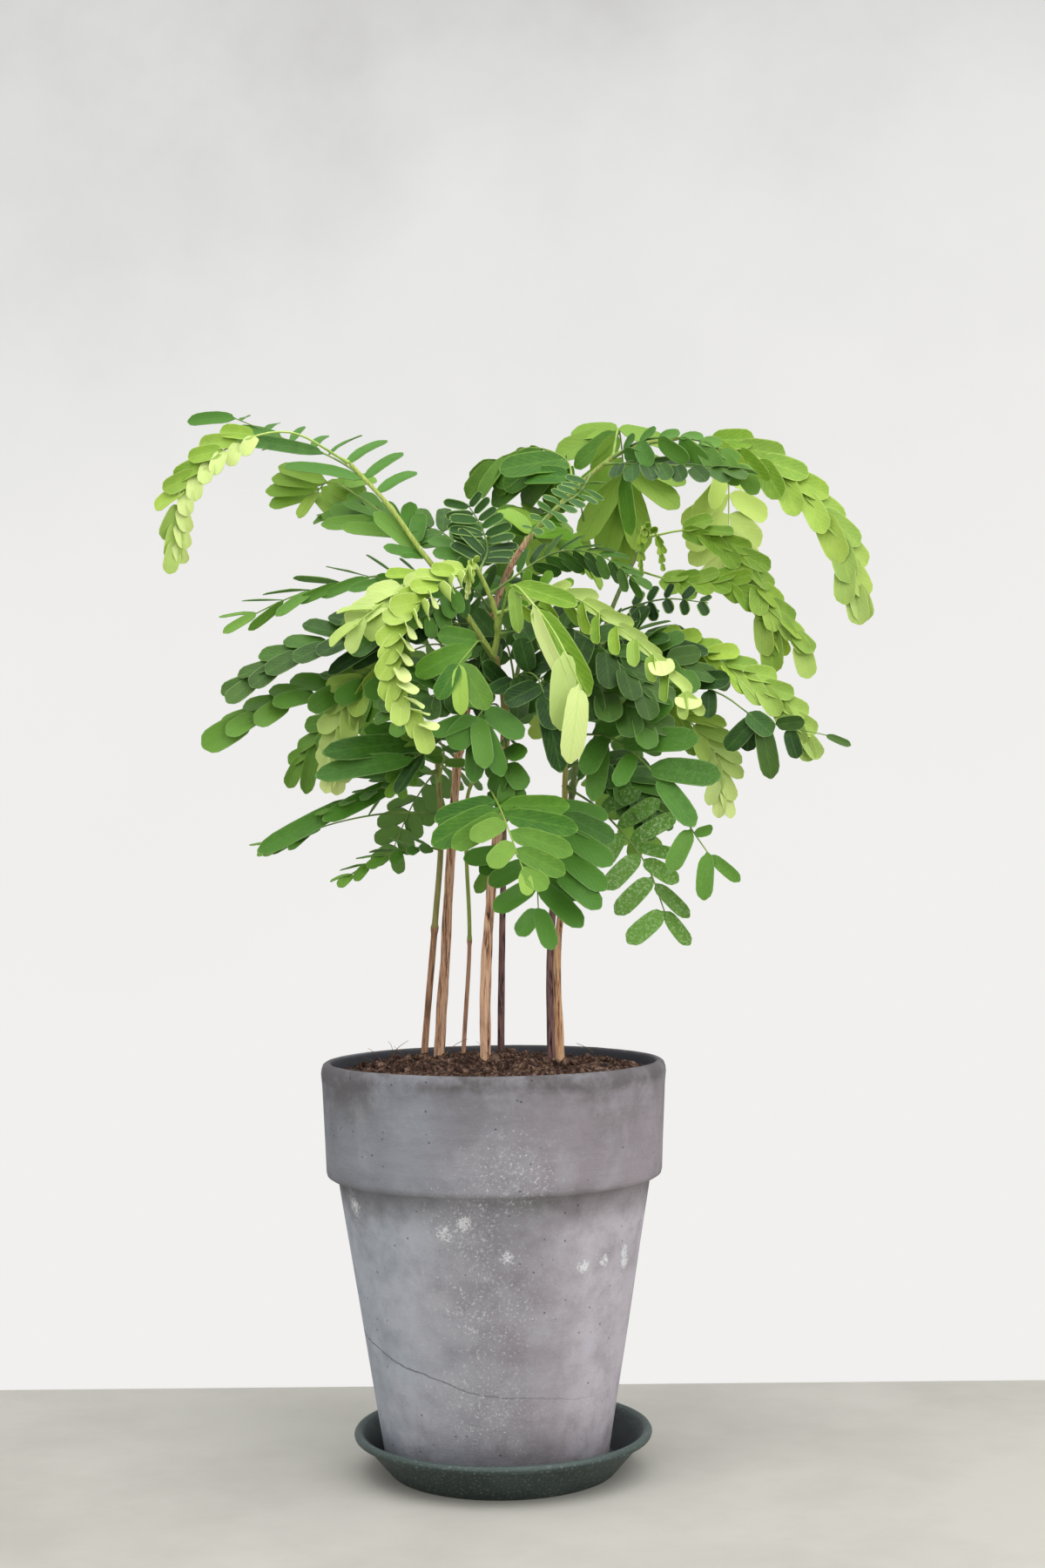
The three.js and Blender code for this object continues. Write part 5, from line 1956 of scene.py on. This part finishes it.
          (0.4, (47, -40, 277), 7.5, 10), (0.2, (35, -32, 282), 9), (0.88, (84, -44, 258), 5, 40, 0.2))),
    Frond("right_lower_lime", "right", Age.LIME, FRONT, 10, 17, ((44, 31, 339), (70, 2, 334),
          (96, -10, 323), (114, -17, 308), (124, -20, 292)), wide=9.5, bare=30, fold=6, cup=34, lean=(34,
          12), tone=0.2, youth=0.3, lift=8, singles=((0.6, (101, -18, 310), 1.6, 0, 1),
          (0.61, (104, -18, 310), 1.6, 20, 1), (0.62, (106, -17, 312), 1.5, 0, 1),
          (0.59, (103, -20, 308), 1.6, 40, 1))),
    Frond("right_dark_long", "pale", Age.MATURE, FRONT, 0, 22, ((39, 2, 320), (66, -12, 320),
          (90, -18, 312), (104, -22, 302), (130, -27, 295)), tone=0.1, singles=((0.72, (91, -22, 290), 8),
          (0.7, (99, -20, 289), 8, 20), (0.74, (110, -24, 278), 8.5, 0, 0.2), (0.68, (109, -26, 296), 9),
          (0.85, (119, -26, 286), 6.5, 10), (1, (140, -28, 291), 3.2, 0, 0.2),
          (0.8, (121, -30, 300), 6, 30, 0.1), (0.5, (84, -22, 303), 7, 10), (0.4, (92, -24, 318), 8, 20))),
    Frond("right_low_lime", "right", Age.LIME, FRONT, 9, 20, ((35, 26, 308), (60, 10, 312), (78, 0, 303),
          (88, -6, 289), (91, -9, 272)), wide=7, bare=26, lean=(32, 14), tone=0.2, youth=0.8, fold=6,
          lift=7),
    Frond("centre_dark", "centre", Age.MATURE, FRONT, 0, 17, ((3, -4, 312), (10, -18, 321), (16, -30, 319),
          (19, -36, 312)), tone=0, singles=((0.6, (10, -30, 334), 8.5), (0.9, (4, -40, 309), 9),
          (1, (23, -44, 298), 10.5), (0.95, (34, -42, 308), 9.5), (0.5, (28, -30, 330), 9),
          (0.3, (-1, -30, 314), 7.5), (0.15, (-4, -24, 325), 7.5), (0.4, (9, -36, 303), 8.5, 0, 0.1),
          (1, (25, -42, 281), 9))),
    Frond("centre_mid", "centre", Age.MID, FRONT, 0, 19, ((-1, -6, 328), (-6, -20, 334), (-9, -32, 330),
          (-14, -42, 323)), tone=0.3, cup=24, singles=((1, (-22, -48, 310), 8),
          (1, (-13, -50, 304), 6.5, 0, 0.8), (0.96, (-3, -48, 306), 10, 0, 0.2),
          (0.65, (-31, -38, 321), 10), (0.45, (-22, -30, 336), 9))),
    Frond("centre_blue", "centre", Age.MATURE, FRONT, 0, 20, ((3, -4, 305), (0, -18, 309), (-4, -28, 307),
          (-7, -34, 303)), tone=1, singles=((1, (-17, -42, 292), 11), (0.8, (10, -42, 296), 9.5),
          (1, (-25, -40, 297), 7.5), (0.6, (-16, -34, 312), 8), (1, (-4, -46, 284), 8.5, 0, 0.2),
          (1, (3, -44, 281), 8), (0.9, (-9, -42, 278), 8.5))),
    Frond("centre_low", "centre", Age.MATURE, FRONT, 5, 16, ((3, -4, 294), (4, -16, 298), (4, -26, 290),
          (5, -32, 275)), wide=9, lean=(56, 20), tone=0.9),
    Frond("centre_shadow", "shoot_top", Age.MATURE, HALF, 7, 21, ((0, -8, 338), (25, -18, 340),
          (42, -28, 330), (60, -34, 311)), wide=11, lean=(60, 36), tone=0),
    Frond("back_left", "left", Age.MID, BACK, 9, 21, ((-9, 24, 326), (-27, 60, 341), (-48, 84, 334),
          (-65, 102, 312)), wide=10, bare=14, lean=(56, 30)),
    Frond("back_high", "back", Age.MATURE, UP, 9, 22, ((14, 24, 347), (4, 58, 366), (2, 92, 368),
          (3, 122, 350)), wide=10, bare=12, lean=(56, 30)),
    Frond("back_right", "right", Age.MATURE, BACK, 9, 21, ((44, 31, 339), (54, 60, 346), (66, 88, 342),
          (76, 110, 320)), wide=10, bare=14, lean=(56, 30)),
    Frond("back_low_left", "slender", Age.MATURE, BACK, 9, 20, ((-9, 40, 283), (-24, 66, 288),
          (-38, 90, 274), (-50, 106, 250)), wide=9.5, lean=(56, 30)),
    Frond("back_low_right", "right", Age.MID, BACK, 9, 20, ((31, 18, 275), (40, 50, 290), (54, 78, 278),
          (64, 96, 254)), wide=9.5, lean=(56, 30)),
    Frond("back_crown", "left", Age.MID, UP, 9, 20, ((12, 10, 377), (14, 46, 394), (8, 76, 394),
          (0, 100, 378)), wide=10, lean=(56, 30)),
    Frond("back_middle", "back", Age.LIME, BACK, 9, 20, ((8, 26, 322), (18, 60, 326), (22, 88, 320),
          (22, 106, 308)), wide=10, lean=(56, 30)),
]

# Smaller fronds that fill the crown between the others
INNER_FRONDS = [
    Frond("inner_left", "centre", Age.MATURE, HALF, 7, 19, ((2, -4, 306), (-14, -16, 314), (-26, -24, 312),
          (-38, -30, 304)), wide=9.5, lean=(60, 34), tone=0.3),
    Frond("inner_left_high", "left", Age.MATURE, HALF, 8, 18, ((-6, 21, 335), (-22, 6, 348), (-38, -4, 350),
          (-56, -10, 343)), wide=8.5, lean=(56, 30), tone=0.2),
    Frond("inner_middle", "left", Age.MATURE, FRONT, 7, 16, ((-2, 16, 350), (-10, 0, 358), (-20, -12, 354),
          (-28, -20, 342)), wide=7.5, lean=(60, 34), tone=0.4),
    Frond("inner_right", "centre", Age.MATURE, HALF, 7, 22, ((3, -4, 312), (22, -14, 318), (42, -24, 314),
          (60, -32, 300)), wide=12.5, lean=(60, 36), tone=0.4),
    Frond("inner_right_high", "right", Age.MATURE, HALF, 7, 20, ((36, 27, 312), (50, 6, 328), (62, -8, 330),
          (78, -20, 320)), wide=10.5, lean=(56, 32), tone=0.2),
    Frond("inner_low_right", "pale", Age.MATURE, HALF, 8, 18, ((28, -5, 284), (40, -6, 287), (52, -8, 279),
          (62, -10, 264)), wide=9, lean=(58, 34), tone=0.3),
    Frond("inner_centre", "back", Age.MATURE, FRONT, 6, 18, ((8, 26, 322), (3, 16, 338), (-4, 12, 336),
          (-8, 10, 320)), wide=9, lean=(58, 30), tone=0.1),
    Frond("inner_low_left", "far_left", Age.MID, FRONT, 5, 12, ((-25, 18, 288), (-30, 6, 294),
          (-36, -4, 290), (-40, -12, 276)), wide=5.5, lean=(50, 26), tone=0.5),
    Frond("inner_far_left", "far_left", Age.MID, FRONT, 5, 13, ((-25, 19, 280), (-22, 8, 292),
          (-26, -2, 298), (-34, -8, 296)), wide=6, lean=(56, 24), tone=0.4),
    Frond("inner_back_left", "left", Age.MATURE, UP, 8, 19, ((-6, 20, 338), (-22, 42, 350), (-38, 56, 350),
          (-54, 68, 338)), wide=9.5, lean=(56, 30), tone=0.3),
    Frond("inner_top_left", "shoot_top", Age.MATURE, HALF, 7, 16, ((-4, -12, 358), (-14, 2, 374),
          (-24, 10, 383), (-35, 16, 385)), wide=7.5, lean=(58, 34), tone=0.5),
    Frond("inner_top_back", "left", Age.MID, FRONT, 6, 23, ((12, 10, 377), (19, 28, 386), (28, 44, 384),
          (39, 54, 375)), wide=11, lean=(64, 34), tone=1, youth=0.9, left_youth=0.5,
          singles=((0.1, (20, 24, 365), 10, 0, 0.6), (0.2, (30, 28, 369), 10, 0, 0.8))),
    Frond("inner_back_lower", "back", Age.MATURE, FRONT, 6, 20, ((10, 26, 332), (24, 40, 344),
          (38, 50, 344), (54, 58, 334)), wide=10, lean=(60, 34), tone=0.2),
    Frond("inner_sprig", "shoot_top", Age.MID, FRONT, 5, 9, ((0, -9, 344), (12, -16, 354), (22, -20, 355),
          (33, -24, 350)), wide=4.5, lean=(60, 34), tone=0.8),
    Frond("inner_back_right", "back", Age.MATURE, BACK, 8, 20, ((6, 28, 310), (30, 54, 318), (48, 70, 312),
          (62, 82, 296)), wide=9.5, lean=(56, 30), tone=0.3),
    Frond("bud_centre", "shoot_top", Age.PALE, FRONT, 7, 6, ((-7, -14, 364), (-9, -18, 366),
          (-10, -20, 361), (-11, -21, 353)), wide=2.6, bare=3, fold=60, lean=(34, 16), taper=0.3, youth=1),
    Frond("bud_right", "right", Age.LIME, FRONT, 7, 6, ((64, 36, 384), (62, 31, 387), (61, 29, 380),
          (61, 29, 368)), wide=2.8, bare=3, fold=60, lean=(34, 16), taper=0.3),
    Frond("bud_right_low", "right", Age.LIME, FRONT, 6, 6, ((62, 35, 380), (66, 31, 385), (69, 29, 380),
          (70, 28, 369)), wide=2.8, bare=3, fold=60, lean=(34, 16), taper=0.3),
]


def main() -> None:
    """Loads the part and dresses it, piece by piece."""
    logging.basicConfig(level=logging.INFO, format="%(name)s: %(message)s")
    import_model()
    deselect_all()
    studio = Studio()
    studio.set_camera()
    studio.light()
    studio.lay_floor(StoneFinish())
    place_on_part(Saucer().build(SaucerFinish()), "saucer_plastic", "saucer")
    place_on_part(Pot().build(ClayFinish()), "weathered_clay", "pot")
    crumbs = CompostFinish("compost_crumbs", "#180e0a", "#4a3228", "#907464")
    coir = CompostFinish("coir_fibre", "#3a281c", "#765a40", "#a88a66")
    place_on_part(Compost().build(crumbs, coir), "potting_soil", "soil")
    Plant(STEMS, FRONDS, INNER_FRONDS).build()


if __name__ == "__main__":
    main()
